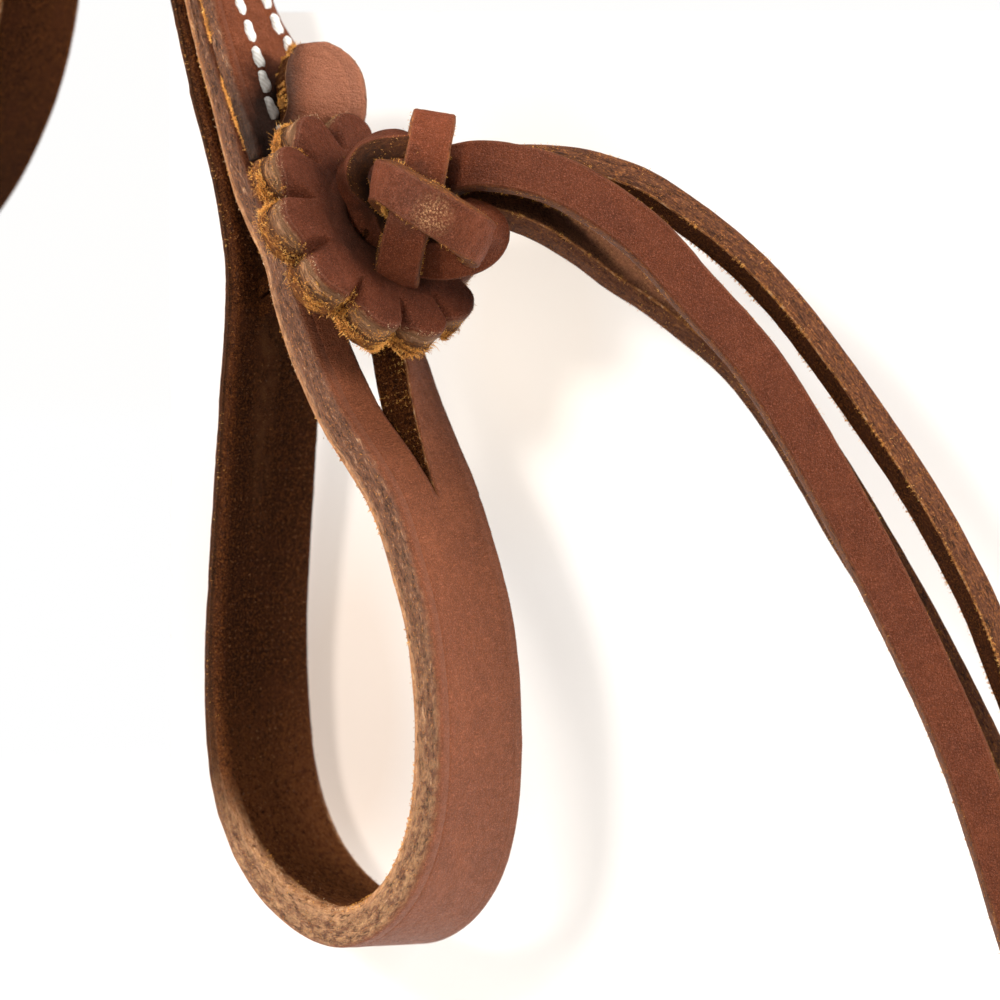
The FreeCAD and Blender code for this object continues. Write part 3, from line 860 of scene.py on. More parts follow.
# ------------------------------------------------------------------ bit end strap
STRAP_SECTION = dict(grain_radius=1.1, flesh_radius=1.25, crease=2.5, crease_depth=0.09)
WALL_POINTS = 7                         # points across the cut face of the slit
RIM = 3.4                               # outer part of a leg's section that keeps its shape


def near_leg_width(z):
    return HALF_STRAP - 0.9 * np.clip((z - 40.0) / 14.0, 0, 1)


def near_leg_centre(point, side_dir):
    return point + Y_AXIS * NEAR_EDGE + side_dir * (near_leg_width(point[2]) / 2)


def far_leg_full_width(z):
    return HALF_STRAP + 1.6 * ease((z - 74) / 9.0)


def far_leg_width(z):
    width = far_leg_full_width(z)
    if z > 90.6:                                      # rounded tip of the tongue
        share = min(1.0, (z - 90.6) / 6.3)
        return max(1.8, width * max(0.0, 1 - share ** 2.15) ** 0.5)
    return width


def far_leg_centre(point, side_dir):
    z = point[2]
    width = far_leg_width(z)
    shift = 0.36 * (far_leg_full_width(z) - width) - 3.9 * ease((z - 72) / 14.0)
    return point + Y_AXIS * (shift + width / 2)


def far_leg_angle(z):
    return (math.radians(-20.0) * np.clip((z - 41.0) / 16.0, 0, 1)
            + math.radians(54.0) * ease((z - 61.0) / 22.0))


def add_leg(b, line, along, side, start, angle_at, leg_width, leg_centre, wall_region):
    """One leg of the slit end, grown from the ring start; side -1 is the near leg, +1 the
    far one. Returns the last ring and the direction there."""
    points, tangents, normals, sides = strap_frames(line)
    across_wall = np.linspace(-0.5, 0.5, WALL_POINTS + 2)[1:-1]
    previous = start
    for i in range(1, len(points)):
        z, thickness = points[i, 2], line[i, 3]
        width = leg_width(z)
        gap = min(0.30, 0.10 + 0.04 * i)
        half, up, edge, flesh = half_section(HALF_STRAP, thickness, **STRAP_SECTION)
        # squeeze the half-section so that it spans the leg from the slit to the outer edge
        squeezed = np.where(half > HALF_STRAP - RIM, half - HALF_STRAP + width,
                            half * (width - RIM) / (HALF_STRAP - RIM))
        blend = min(1.0, i / 10.0)
        half = half * (1 - blend) + squeezed * blend
        normal, side_dir = roll(normals[i], sides[i], angle_at(z))
        centre = leg_centre(points[i], side_dir)
        across = (half - width / 2) * side + np.where(half < 0.6, gap * side, 0)
        lift = up.copy()
        lift[0] -= 0.12
        lift[-1] += 0.12
        edge[0], flesh[-1] = 0.45, 0.6
        skin = b.verts(centre + side_dir * across[:, None] + normal * lift[:, None],
                       columns(edge, flesh, 0), columns(along[i], half * side, up))
        wall = b.verts(centre + side_dir * ((-width / 2 - 0.02) * side + gap * side)
                       + normal * (across_wall * (thickness - 0.5))[:, None],
                       wall_region, columns(along[i], 0, across_wall * thickness))
        ring = np.concatenate([skin, wall])
        if side > 0:
            b.bridge(previous, ring)
        else:
            b.bridge(ring, previous)
        previous = ring
    return previous, tangents[-1]


def add_strap_body(b):
    """The undivided strap from the seam with the rein to the slit. Returns its rings."""
    points, tangents, normals, sides = strap_frames(MAIN_LINE)
    x, z = points[:, 0].copy(), points[:, 2].copy()
    angle = math.radians(7.0) * np.exp(-((z + 17) / 14.0) ** 2)
    angle = angle + math.radians(1.2) * noise3(points, 0.03, 5)
    twist = twist_at(z)
    normals, sides = roll(normals, sides, angle + twist)
    widths = width_at(z) * (1 + 0.006 * noise3(points, 0.05, 9))
    widths = np.where((x < 0) & (z > 60), widths, np.maximum(widths, 18.9))
    points[:, 1] = NEAR_EDGE + width_at(z) / 2
    keep_near_edge(points, sides, widths, twist)
    rings = [add_ring(b, points[i], sides[i], normals[i], widths[i] / 2, MAIN_LINE[i, 3],
                      MAIN_ALONG[i], **STRAP_SECTION) for i in range(len(points))]
    b.bridge_all(rings)
    b.cap(rings[0], (0.9, 0.0, 0))
    # the cut face where the slit begins
    across_wall = np.linspace(-0.5, 0.5, WALL_POINTS + 2)[1:-1]
    wall = b.verts(points[-1] + normals[-1] * (across_wall * MAIN_LINE[-1, 3])[:, None], CUT,
                   columns(MAIN_ALONG[-1], 0, np.linspace(-2, 2, WALL_POINTS)))
    return rings, wall


def add_strap_fibres(b):
    points, regions, strips = b.arrays()
    normals = b.normals()
    x, y, z = points.T
    edge, flesh = regions[:, 0], regions[:, 1]
    low_edge = (edge > 0.45) & (flesh > 0.05) & (flesh < 0.6)
    near_right = low_edge & ((x > -4) | (strips[:, 0] > 150)) & (y < 0)
    add_fibres(b, low_edge, normals, 900, (0.15, 0.6), 0.04, seed=21, slot=RUST)
    add_fibres(b, near_right, normals, 1500, (0.12, 0.5), 0.05, seed=26, slot=PALE)
    add_fibres(b, near_right, normals, 2600, (0.12, 0.55), 0.055, seed=27)
    add_fibres(b, edge > 0.8, normals, 1500, (0.1, 0.4), 0.04, seed=22)
    add_fibres(b, flesh > 0.8, normals, 9000, (0.12, 0.5), 0.042, seed=23, slot=RUST,
               spread=1.6, clump=False)
    # torn fibres along the tongue's cut edge and where the far leg leaves the slit
    right = points @ RIGHT
    tongue = (x > -16.5) & (y > -4.6)
    torn = (tongue & (z > 86.5) & (y < 9) & (flesh > 0.3) & (flesh < 0.97) & (right < -9.2))
    add_fibres(b, torn, normals, 1300, (0.2, 1.0), 0.05, seed=24)
    tip = tongue & (z > 94.5) & (right < -9.0) & (edge > 0.3)
    add_fibres(b, tip, normals, 700, (0.3, 1.3), 0.045, seed=28)
    slit = (z > 42) & (z < 62) & (x > -6) & (y > -0.6) & (y < 3.0) & (flesh > 0.4)
    add_fibres(b, slit, normals, 1200, (0.15, 0.6), 0.04, seed=25)


def build_bit_strap():
    """Makes the strap and returns the points of its top ring, where the rein carries on."""
    b = Builder()
    rings, wall = add_strap_body(b)
    last = rings[-1]
    half_count = len(last) // 2 + 1
    near_half = np.r_[last[:1], last[:half_count - 2:-1]]
    # the near leg's slit wall is darkened towards the flesh colour, as painted shade
    end, direction = add_leg(b, NEAR_LEG, NEAR_LEG_ALONG, -1, np.r_[near_half, wall],
                             lambda z: -twist_at(z), near_leg_width, near_leg_centre,
                             wall_region=(1, 0.2, 0.6))
    b.cap(end, (0.6, 0.4, 0), flip=True, dome=direction * 0.2)
    # the far leg's slit wall is coloured as flesh, as painted shade
    end, direction = add_leg(b, FAR_LEG, FAR_LEG_ALONG, 1, np.r_[last[:half_count], wall],
                             far_leg_angle, far_leg_width, far_leg_centre,
                             wall_region=(0.55, 0.95, 0.3))
    b.cap(end, CUT, dome=direction * 0.3)
    # the raised part of the left side has dark, rubbed edges
    points, regions, strips = b.arrays()
    left = (points[:, 0] < 0) & (strips[:, 0] < 150)
    rubbed = np.maximum(regions[:, 2], ease((points[:, 2] + 9.0) / 16.0))
    regions[:, 2] = np.where(left, rubbed, regions[:, 2])
    b.set_arrays(points, regions, strips)
    roughen(b, grain=0.045, edge=0.11, flesh=0.10, seed=11)
    seam = b.arrays()[0][rings[0]]
    add_strap_fibres(b)
    strap = make_object("bit_end_strap", b,
                        [STRAP_LEATHER, ORANGE_FIBRE, PALE_FIBRE, RUST_FIBRE], sharp=[rings[0]])
    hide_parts("bit_loop_strap", "rein_lead_strap", "back_leg", "front_leg_tip")
    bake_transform(strap)
    return seam


SEAM = build_bit_strap()

# ------------------------------------------------------------------ rein coil
COIL_X, COIL_Z = -103.5, 114.0          # centre of the coil
COIL_START = 14.6                       # degrees at which the outer turn meets the lead
OUTER_RADIUS, COIL_RADIUS = 75.0, 50.0  # the outer turn closes in from one to the other
CLOSING_ANGLE = 320.0                   # degrees taken to close in
TURN_PITCH = 3.7                        # radius lost in each further turn
COIL_TURNS = 7
ANGLE_STEP = 6.0
REIN_WIDTH, REIN_THICKNESS = 16.0, 2.4


def coil_line():
    """Middle line from the free end inside the coil to just above the seam."""
    angle = np.arange(int((CLOSING_ANGLE + 360.0 * COIL_TURNS) / ANGLE_STEP) + 1) * ANGLE_STEP
    radius = (OUTER_RADIUS - (OUTER_RADIUS - COIL_RADIUS) * ease(angle / CLOSING_ANGLE)
              - TURN_PITCH * np.maximum(0, angle - CLOSING_ANGLE) / 360.0)
    theta = np.radians(COIL_START + angle)
    spiral = columns(COIL_X + radius * np.cos(theta), 0, COIL_Z + radius * np.sin(theta),
                     REIN_THICKNESS)[::-1]
    line, along = resample(
        np.vstack([spiral[:-1], [[-30.95, 0, 132.9, REIN_THICKNESS]], LOOP_LINE[2:6]]),
        1.6)
    end = np.flatnonzero((line[:, 2] >= 122.6) & (line[:, 0] > -36))[-1]
    return line[:end + 1], along[:end + 1]


def rein_surface(line, along):
    """Rings of the whole rein. Returns rings, points, regions and strip coordinates."""
    b = Builder()
    points, tangents, normals, sides = strap_frames(line)
    x, z = points[:, 0].copy(), points[:, 2].copy()
    count = len(points)
    wobble = np.clip(along / 60.0, 0, 1) * np.clip((along[-1] - along) / 60.0, 0, 1)
    points[:, 1] = NEAR_EDGE + REIN_WIDTH / 2
    points[:, 1] += 0.35 * noise3(points, 0.02, 31) * wobble
    lead = (x > -36) & (z < 134)
    widths = np.where(lead, width_at(z), REIN_WIDTH)
    points[:, 1] = np.where(lead, NEAR_EDGE + widths / 2, points[:, 1])
    # the free end is rounded off
    end = np.clip(along / 7.0, 0, 1)
    widths = widths * np.maximum(0.25, np.sqrt(np.clip(1 - (1 - end) ** 2, 0, 1)))
    twist = np.where((x > -42) & (z < 151), twist_at(z), 0.0)
    normals, sides = roll(normals, sides,
                          math.radians(1.5) * noise3(points, 0.02, 33) * wobble + twist)
    keep_near_edge(points, sides, widths, twist)
    rings = []
    for i in range(count):
        near = max(0.0, 1 - (count - 1 - i) / 14.0)   # 1 at the seam
        rings.append(add_ring(b, points[i], sides[i], normals[i], widths[i] / 2, line[i, 3],
                              -along[i], grain_radius=0.75 + 0.35 * near,
                              flesh_radius=0.5 + 0.75 * near, crease=2.3 + 0.2 * near,
                              crease_depth=0.14 - 0.05 * near))
    # the last rings drift so that the rein meets the bit end strap squarely
    skin, regions, strips = b.arrays()
    offset = SEAM.mean(0) - skin[rings[-1]].mean(0)
    gap = float(offset @ tangents[-1])
    offset = offset - tangents[-1] * gap
    for i in range(count - 16, count):
        skin[rings[i]] += offset * ease(1 - (count - 1 - i) / 16.0)
    b.set_arrays(skin, regions, strips)
    rings.append(b.verts(SEAM, regions[rings[-1]], strips[rings[-1]] - vec(gap, 0, 0)))
    b.bridge_all(rings)
    roughen(b, grain=0.04, edge=0.08, flesh=0.07, seed=41)
    skin, regions, strips = b.arrays()
    skin[rings[-1]] = SEAM
    # rubbed dark edges near the bit end, plainer ones on the coil
    for i, ring in enumerate(rings):
        regions[ring, 2] = 0.3 + 0.7 * max(0.0, 1 - (len(rings) - 1 - i) / 40.0)
    return rings, skin, regions, strips


def rein_part(name, surface, first, last, start_dome, seed, count):
    """A piece of the rein between two rings; its flat ends are marked sharp."""
    rings, skin, regions, strips = surface
    b = Builder()
    part = [b.verts(skin[r], regions[r], strips[r]) for r in rings[first:last + 1]]
    b.bridge_all(part)
    start_dir = unit(skin[rings[first + 1]].mean(0) - skin[rings[first]].mean(0))
    b.cap(part[0], CUT, dome=-start_dir * start_dome)
    b.cap(part[-1], CUT, flip=True)
    region = b.arrays()[1]
    edge, flesh = region[:, 0], region[:, 1]
    add_fibres(b, (edge > 0.5) & (flesh > 0.02) & (flesh < 0.6), b.normals(), count,
               (0.2, 0.7), 0.03, seed)
    sharp = [part[-1]] if start_dome else [part[0], part[-1]]
    return make_object(name, b, [REIN_LEATHER, ORANGE_FIBRE], sharp=sharp)


def build_rein():
    line, along = coil_line()
    surface = rein_surface(line, along)
    bend_start = np.flatnonzero(line[:, 2] >= 150.0)[-1]
    rein = rein_part("rein_coil", surface, 0, bend_start, start_dome=0.2, seed=42, count=2000)
    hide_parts("rein_coil_strap")
    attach(rein, "coil")
    bend = rein_part("rein_bend", surface, bend_start, len(surface[0]) - 1, start_dome=0.0,
                     seed=43, count=120)
    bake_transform(bend)


build_rein()

# ------------------------------------------------------------------ doubler and stitches
# Flesh face of the doubler, from its pointed top downward: x, z, thickness.
DOUBLER_FLESH_FACE = [
    (-24.6, 124.0, 1.4), (-21.9, 113.0, 1.8), (-19.1, 102.3, 1.9), (-16.5, 94.0, 2.0),
    (-14.55, 88.9, 2.0), (-12.9, 85.2, 2.0), (-11.3, 81.4, 1.8)]
DOUBLER_EDGE = NEAR_EDGE + 0.1          # y of the doubler's near edge
POINT_Z = 114.0                         # the upper end is pointed above this
SLANT_Z = 90.0                          # the lower end is cut on a slant below this
STITCH_PITCH = 3.45
STITCH_TOP_Z = 117.0
# Stitch rows: object, replaced piece, first stitch's z, share of the width, inward lean.
STITCH_ROWS = [("stitches_left", "stitch_row_left", 84.4, 0.36, 1.3),
               ("stitches_right", "stitch_row_right", 89.6, 0.795, 0.0)]

Station = namedtuple("Station", "z centre side out half_width thickness along")
Stitch = namedtuple("Stitch", "z offset from_edge station")


def doubler_width(z):
    return float(width_at(z)) - 0.3


def doubler_stations():
    line, along = resample(middle_line(DOUBLER_FLESH_FACE, side=1), 0.55)
    points, tangents, normals, sides = strap_frames(line)
    stations = []
    for i, (x, _, z) in enumerate(points):
        width = doubler_width(z)
        near, far = DOUBLER_EDGE, DOUBLER_EDGE + width
        if z > POINT_Z:
            share = min(1.0, (z - POINT_Z) / 10.2)
            middle = (near + far) / 2
            half = (width / 2) * math.sqrt(max(0.0, 1 - share ** 2.2)) * 0.995 + 0.7
            near, far = middle - half, middle + half
        if z < SLANT_Z:
            far = far - (width - 6.0) * min(1.0, (SLANT_Z - z) / 8.5)
        out, side = roll(-normals[i], sides[i], -twist_at(z))
        # the near edge stays put while the strap turns away
        centre = vec(x, DOUBLER_EDGE, z) + side * ((near + far) / 2 - DOUBLER_EDGE)
        stations.append(Station(z, centre, side, out, (far - near) / 2, line[i, 3],
                                tangents[i]))
    return stations, along


def stitch_row(stations, first_z, share, lean):
    """Stitches with their offset from the doubler's middle and distance from its near edge."""
    row = []
    for z in np.arange(first_z, STITCH_TOP_Z, STITCH_PITCH):
        station = stations[int(np.argmin([abs(s.z - z) for s in stations]))]
        width = doubler_width(z)
        from_edge = width * share - lean * np.clip((98.0 - z) / 10.0, 0, 1)
        offset = from_edge - (width / 2 if z >= SLANT_Z else station.half_width)
        if abs(offset) < station.half_width - 0.9:
            row.append(Stitch(z, offset, from_edge, station))
    return row


def press_stitches(b, stitches):
    """Channels and holes that the stitches pull into the leather, and wrinkles beside them."""
    points, regions, strips = b.arrays()
    shift = np.zeros(len(points))
    for stitch in stitches:
        s = stitch.station
        rel = points - (s.centre + s.side * stitch.offset + s.out * (s.thickness / 2))
        along, across = rel @ s.along, rel @ s.side
        shift -= 0.26 * np.exp(-(across / 0.85) ** 2) * np.exp(-(along / 1.9) ** 4)
        for hole in (-1.72, 1.72):
            shift -= 0.34 * np.exp(-(((along - hole) / 0.42) ** 2) - (across / 0.5) ** 2)
        wrinkle = 0.30 * math.exp(-((stitch.z - 86) / 8.0) ** 2)
        shift += (wrinkle * np.sin(along * 1.9 + across * 1.2)
                  * np.exp(-(across / 2.4) ** 2) * np.exp(-(along / 1.6) ** 2))
    shift = np.where(regions[:, 1] < 0.2, shift, 0)
    b.set_arrays(points + b.normals() * shift[:, None], regions, strips)


def build_doubler(stations, along, stitches):
    b = Builder()
    rings = [add_ring(b, s.centre, s.side, s.out, s.half_width, s.thickness, a,
                      grain_radius=0.95, flesh_radius=0.4, crease=2.1, crease_depth=0.10,
                      crown=0.10) for s, a in zip(stations, along)]
    for upper, lower in zip(rings, rings[1:]):
        b.bridge(lower, upper)
    b.cap(rings[0], CUT, flip=True, dome=-stations[0].along * 0.1)
    b.cap(rings[-1], CUT, dome=stations[-1].along * 0.1)
    press_stitches(b, stitches)
    roughen(b, grain=0.05, edge=0.12, flesh=0.09, seed=51)
    normals = b.normals()
    points, regions, _ = b.arrays()
    corner = (regions[:, 0] > 0.35) & (regions[:, 1] > 0.05) & (regions[:, 1] < 0.8)
    add_fibres(b, corner, normals, 1800, (0.25, 0.9), 0.045, seed=52)
    add_fibres(b, corner & (points[:, 1] < -6.5), unit(normals + vec(0, -0.6, 0)), 2600,
               (0.15, 1.0), 0.045, seed=53, spread=1.3)
    doubler = make_object("doubler_leather", b, [DOUBLER_LEATHER, ORANGE_FIBRE])
    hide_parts("doubler")
    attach(doubler, "lead")


def add_stitch(b, centre, direction, normal, length, radius, along):
    """One laid stitch: a fat two-ply thread that dips into its hole at each end."""
    rings_count, sides_count = 15, 14
    share = np.arange(rings_count) / (rings_count - 1) * 2 - 1      # -1..1 along the stitch
    lift = 0.30 - 0.95 * np.abs(share) ** 4.5
    path = centre + direction * (share * length / 2)[:, None] + normal * lift[:, None]
    tangents = tangent(path)
    a = 2 * math.pi * np.arange(sides_count) / sides_count
    rings = []
    for k, u in enumerate(share):
        side = unit(np.cross(normal, tangents[k]))
        out = np.cross(tangents[k], side)
        plies = 1 + 0.13 * np.cos(2 * (a - u * 2.6))
        r = (radius * plies * (1 - 0.25 * abs(u) ** 3))[:, None]
        rings.append(b.verts(path[k] + side * np.cos(a)[:, None] * r * 1.25
                             + out * np.sin(a)[:, None] * r * 0.85, GRAIN,
                             columns(along + u * length / 2, np.arange(sides_count) * 0.35, 0)))
    b.bridge_all(rings)
    b.cap(rings[0], GRAIN)
    b.cap(rings[-1], GRAIN, flip=True)


def build_stitches(name, replaced, row):
    """Thread on the doubler's face, and again where it comes out behind the rein."""
    b = Builder()
    points, tangents, normals, sides = strap_frames(MAIN_LINE)
    for stitch in row:
        s = stitch.station
        centre = s.centre + s.side * stitch.offset + s.out * (s.thickness / 2 - 0.02)
        jitter = RNG.normal(0, 0.06, 3)
        direction = unit(s.along + s.side * float(RNG.normal(0, 0.05)))
        add_stitch(b, centre + jitter * 0.5, direction, s.out, 3.3, 0.70, stitch.z)
        k = int(np.argmin(np.abs(points[:, 2] - stitch.z)
                          + np.where(points[:, 0] < -10, 0, 999)))
        normal, side = roll(normals[k], sides[k], twist_at(points[k, 2]))
        behind = (vec(points[k, 0], NEAR_EDGE, points[k, 2]) + side * (stitch.from_edge + 0.1)
                  + normal * (MAIN_LINE[k, 3] / 2 - 0.02))
        add_stitch(b, behind, tangents[k], normal, 3.1, 0.50, stitch.z)
    thread = make_object(name, b, [THREAD])
    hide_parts(replaced)
    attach(thread, "lead")


stations, doubler_along = doubler_stations()
stitch_rows = [stitch_row(stations, *layout) for _, _, *layout in STITCH_ROWS]
build_doubler(stations, doubler_along, stitch_rows[0] + stitch_rows[1])
for (name, replaced, *_), row in zip(STITCH_ROWS, stitch_rows):
    build_stitches(name, replaced, row)

# ------------------------------------------------------------------ rosette
PETALS = 11
PETAL_POINTS = 28      # points round each petal
PETAL_PHASE = math.radians(139.8 + 8.0)
LOBE_RADIUS, LOBE_CENTRE = 3.8, 12.85   # each petal's round tip and its distance from the middle
HOLE_RADIUS = 4.4
ROSETTE_THICKNESS = 4.9
TOP_ROWS, WALL_ROWS, UNDER_ROWS = 38, 6, 5
ROSETTE_ORIGIN = TIE_ORIGIN + RIGHT * 1.7 + UP * 0.3
ROSETTE_AXIS = unit(TIE_AXIS + TOWARD * 0.13)


def build_rosette():
    long_axis = unit(-UP * 0.79 + RIGHT * 0.61)
    long_axis = unit(long_axis - ROSETTE_AXIS * (long_axis @ ROSETTE_AXIS))
    cross_axis = unit(np.cross(ROSETTE_AXIS, long_axis))
    half = math.pi / PETALS
    theta = np.arange(PETALS * PETAL_POINTS) / (PETALS * PETAL_POINTS) * 2 * math.pi
    turned = theta - PETAL_PHASE + half
    rel = turned % (2 * half) - half                  # angle from the petal's middle
    petal = np.floor((turned % (2 * math.pi)) / (2 * half)).astype(int)
    q = np.abs(rel) / half
    vary = RNG.normal(0, 1, (PETALS + 1, 4))[petal]
    rim = LOBE_CENTRE * np.cos(rel) + np.sqrt(
        np.maximum(0.02, LOBE_RADIUS ** 2 - (LOBE_CENTRE * np.sin(rel)) ** 2))
    rim = rim + 0.22 * vary[:, 0] * np.cos(rel / half * math.pi / 2)
    spokes = np.cos(theta)[:, None] * long_axis + np.sin(theta)[:, None] * cross_axis
    # the hole sits on the tie's axis, the outline round the rosette's own origin
    to_tie = TIE_ORIGIN - ROSETTE_ORIGIN
    to_tie = to_tie - ROSETTE_AXIS * (to_tie @ ROSETTE_AXIS)

    def centre_at(radius):
        return ROSETTE_ORIGIN + to_tie * (1 - ease((radius - HOLE_RADIUS) / 5.5))[:, None]

    b = Builder()
    rows = []

    def add_row(centre, radius, height, region, across):
        height = np.broadcast_to(height, theta.shape)
        points = centre + spokes * np.reshape(radius, (-1, 1)) + ROSETTE_AXIS * height[:, None]
        rows.append(b.verts(points, region, columns(theta * 12, across, height)))

    for k in range(TOP_ROWS):
        share = k / (TOP_ROWS - 1)
        radius = HOLE_RADIUS + (rim - HOLE_RADIUS) * (1 - (1 - share) ** 1.35)
        rho = np.clip((radius - 10.6) / (rim - 10.6), 0, 1)      # along the petal
        over = np.clip((radius - (rim - 0.95)) / 0.95, 0, 1)     # over the rounded rim
        # each petal is a flat tongue, a little higher along one side
        lean = 0.22 * np.sin(rel / half * math.pi / 2) * rho
        dome = 0.32 * rho ** 0.8 * (1 - q ** 4)
        groove = -1.7 * rho ** 0.75 * np.exp(-(((1 - q) / (0.07 + 0.17 * rho)) ** 2) * 0.9)
        cut = (-0.22 * np.exp(-(((1 - q) / 0.10) ** 2))
               * np.clip((radius - 10.4) / 1.2, 0, 1))
        fall = -0.85 * (1 - np.sqrt(np.clip(1 - over ** 2, 0, 1)))
        dish = -0.30 * np.exp(-((radius - 7.6) / 1.5) ** 2)
        height = -0.35 + dome + lean + groove + cut + fall + dish + 0.14 * vary[:, 1] * rho
        edge = np.clip((over - 0.55) / 0.45, 0, 1) * 0.6
        add_row(centre_at(radius), radius, height, columns(edge, 0, 0), radius)
    rim_height = height
    for k in range(WALL_ROWS):
        share = (k + 1) / WALL_ROWS
        radius = rim + 0.05 + 0.60 * share ** 2 + 0.20 * noise3(spokes * 14 + k * 0.7, 0.9, 63)
        height = rim_height * (1 - share) - ROSETTE_THICKNESS * share
        add_row(ROSETTE_ORIGIN, radius, height, (1, 0.0 if k < 4 else 0.25, 0), height)
    for k in range(UNDER_ROWS):
        share = (k + 1) / UNDER_ROWS
        radius = (rim + 0.3) * (1 - share) + HOLE_RADIUS * share
        add_row(centre_at(radius), radius, -ROSETTE_THICKNESS - 0.02, FLESH, radius)
        b.strips[-1] = columns(theta * 12, radius, -ROSETTE_THICKNESS)
    for k in range(2):                                # wall of the hole
        height = -ROSETTE_THICKNESS + (ROSETTE_THICKNESS - 0.75) * (k + 1) / 3
        add_row(ROSETTE_ORIGIN + to_tie, HOLE_RADIUS, height, CUT, height)
    b.bridge_all(rows + rows[:1])
    roughen(b, grain=0.055, edge=0.20, flesh=0.12, seed=61)
    add_rosette_fibres(b)
    rosette = make_object("rosette_leather_disc", b, [ROSETTE_LEATHER, ORANGE_FIBRE, PALE_FIBRE])
    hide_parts("rosette")
    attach(rosette, "rosette")


def add_rosette_fibres(b):
    normals = b.normals()
    points, regions, _ = b.arrays()
    height = (points - ROSETTE_ORIGIN) @ ROSETTE_AXIS
    radial = (points - ROSETTE_ORIGIN) - height[:, None] * ROSETTE_AXIS
    radius = np.linalg.norm(radial, axis=1)
    outward = unit(radial)
    low = (height < -3.3) & (height > -ROSETTE_THICKNESS - 0.2) & (radius > 12)
    low_normals = unit(normals + outward * 0.8)
    add_fibres(b, low, low_normals, 10000, (0.1, 0.7), 0.052, seed=64, spread=1.5)
    add_fibres(b, low, low_normals, 1100, (0.5, 1.5), 0.04, seed=67, spread=1.2)
    wall = (height < -1.2) & (height > -3.9) & (radius > 12)
    add_fibres(b, wall, unit(normals + outward * 0.5), 2800, (0.1, 0.45), 0.045, seed=65,
               spread=1.4)
    rim = (regions[:, 0] > 0.2) & (height > -2.2) & (radius > 11)
    add_fibres(b, rim, normals, 500, (0.15, 0.4), 0.03, seed=66, slot=PALE, spread=1.0)


build_rosette()


# ------------------------------------------------------------------ laces
def lace(name, replaced, points, normals, width, thickness, seed, material=LACE_LEATHER,
         step=0.45, fibres=160, lengths=(0.15, 0.7), rubbed=0.0, all_flesh=False,
         grain_radius=0.42, flesh_radius=0.3, crease=0.85, crown=0.0):
    """A lace through the given points with its grain along the normals."""
    count = len(points)
    line, along = resample(
        np.column_stack([points, normals, np.broadcast_to(width, count),
                         np.broadcast_to(thickness, count)]), step)
    path, widths = line[:, :3], line[:, 6] * (1 + 0.012 * noise3(line[:, :3], 0.12, seed))
    tangents = tangent(path)
    sides = unit(np.cross(unit(line[:, 3:6]), tangents))
    outs = unit(np.cross(tangents, sides))
    b = Builder()
    rings = [add_ring(b, path[i], sides[i], outs[i], widths[i] / 2, line[i, 7], along[i],
                      grain_radius=grain_radius, flesh_radius=flesh_radius, crease=crease,
                      crease_depth=0.03, bulge=0.04, crown=crown) for i in range(len(path))]
    b.bridge_all(rings)
    b.cap(rings[0], CUT, dome=-tangents[0] * 0.25)
    b.cap(rings[-1], CUT, flip=True, dome=tangents[-1] * 0.25)
    # laces have no pressed line beside the edge
    skin, regions, strips = b.arrays()
    regions[:, 0] = np.where(regions[:, 0] < 0.31, 0.0, regions[:, 0])
    regions[:, 2] = rubbed
    if all_flesh:
        regions[:, 1] = 1.0
    b.set_arrays(skin, regions, strips)
    roughen(b, grain=0.035, edge=0.085, flesh=0.08, seed=seed)
    normals = b.normals()
    edge, flesh = regions[:, 0] > 0.5, regions[:, 1]
    add_fibres(b, edge & (flesh > 0.02) & (flesh < 0.7), normals, fibres, lengths, 0.035,
               seed + 1)
    # the fibres just added also count as vertices; the mask covers only the first ones
    add_fibres(b, edge, normals, fibres, (0.08, 0.35), 0.035, seed + 2, spread=1.4)
    ob = make_object(name, b, [material, ORANGE_FIBRE])
    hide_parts(replaced)
    return ob


# Knot laces in the fan frame: place (right, up, toward), then grain normal likewise.
# Comes up behind, folds over the top and runs down under the wrap.
KNOT_CROWN = [
    (7.3, 79.0, 6.6, -.1, .3, -1), (7.9, 82.4, 7.2, 0, .6, -.8),
    (8.5, 84.9, 8.6, 0.1, .85, -.45), (8.9, 85.9, 10.9, 0.15, .98, .1),
    (8.75, 84.9, 13.2, 0.15, .6, .75), (8.3, 82.2, 14.1, 0.1, .12, .99),
    (7.7, 78.6, 14.2, 0.05, -.02, 1), (7.0, 75.4, 13.4, 0, .05, 1), (6.4, 72.6, 12.9, 0, .1, 1)]
# Hangs below the wrap.
KNOT_DROP = [
    (6.8, 76.2, 12.2, 0, .1, 1), (6.2, 74.0, 13.1, 0, .15, 1), (5.5, 71.6, 13.3, -0.05, -.05, 1),
    (4.85, 69.2, 12.7, -0.1, -.45, .88), (4.4, 67.2, 11.3, -0.1, -.65, .75),
    (4.25, 66.2, 9.2, -.1, -.8, .6)]
# Crosses the front of the knot.
KNOT_WRAP = [
    (5.0, 75.2, 9.6, -.6, .2, -.7), (3.2, 76.7, 11.0, -.8, .4, -.4),
    (2.4, 77.9, 13.4, -.95, .2, .1), (3.2, 77.8, 15.8, -.5, -.05, .85),
    (5.6, 76.2, 17.1, -.12, -.25, 1), (8.7, 74.3, 17.5, -.05, -.32, 1),
    (11.4, 72.6, 17.0, .1, -.32, 1), (13.4, 71.3, 15.8, .45, -.3, .85),
    (14.5, 70.6, 14.0, .88, -.35, .3), (14.6, 70.2, 12.2, .8, -.45, -.3),
    (13.6, 70.3, 10.8, .3, -.3, -.9)]
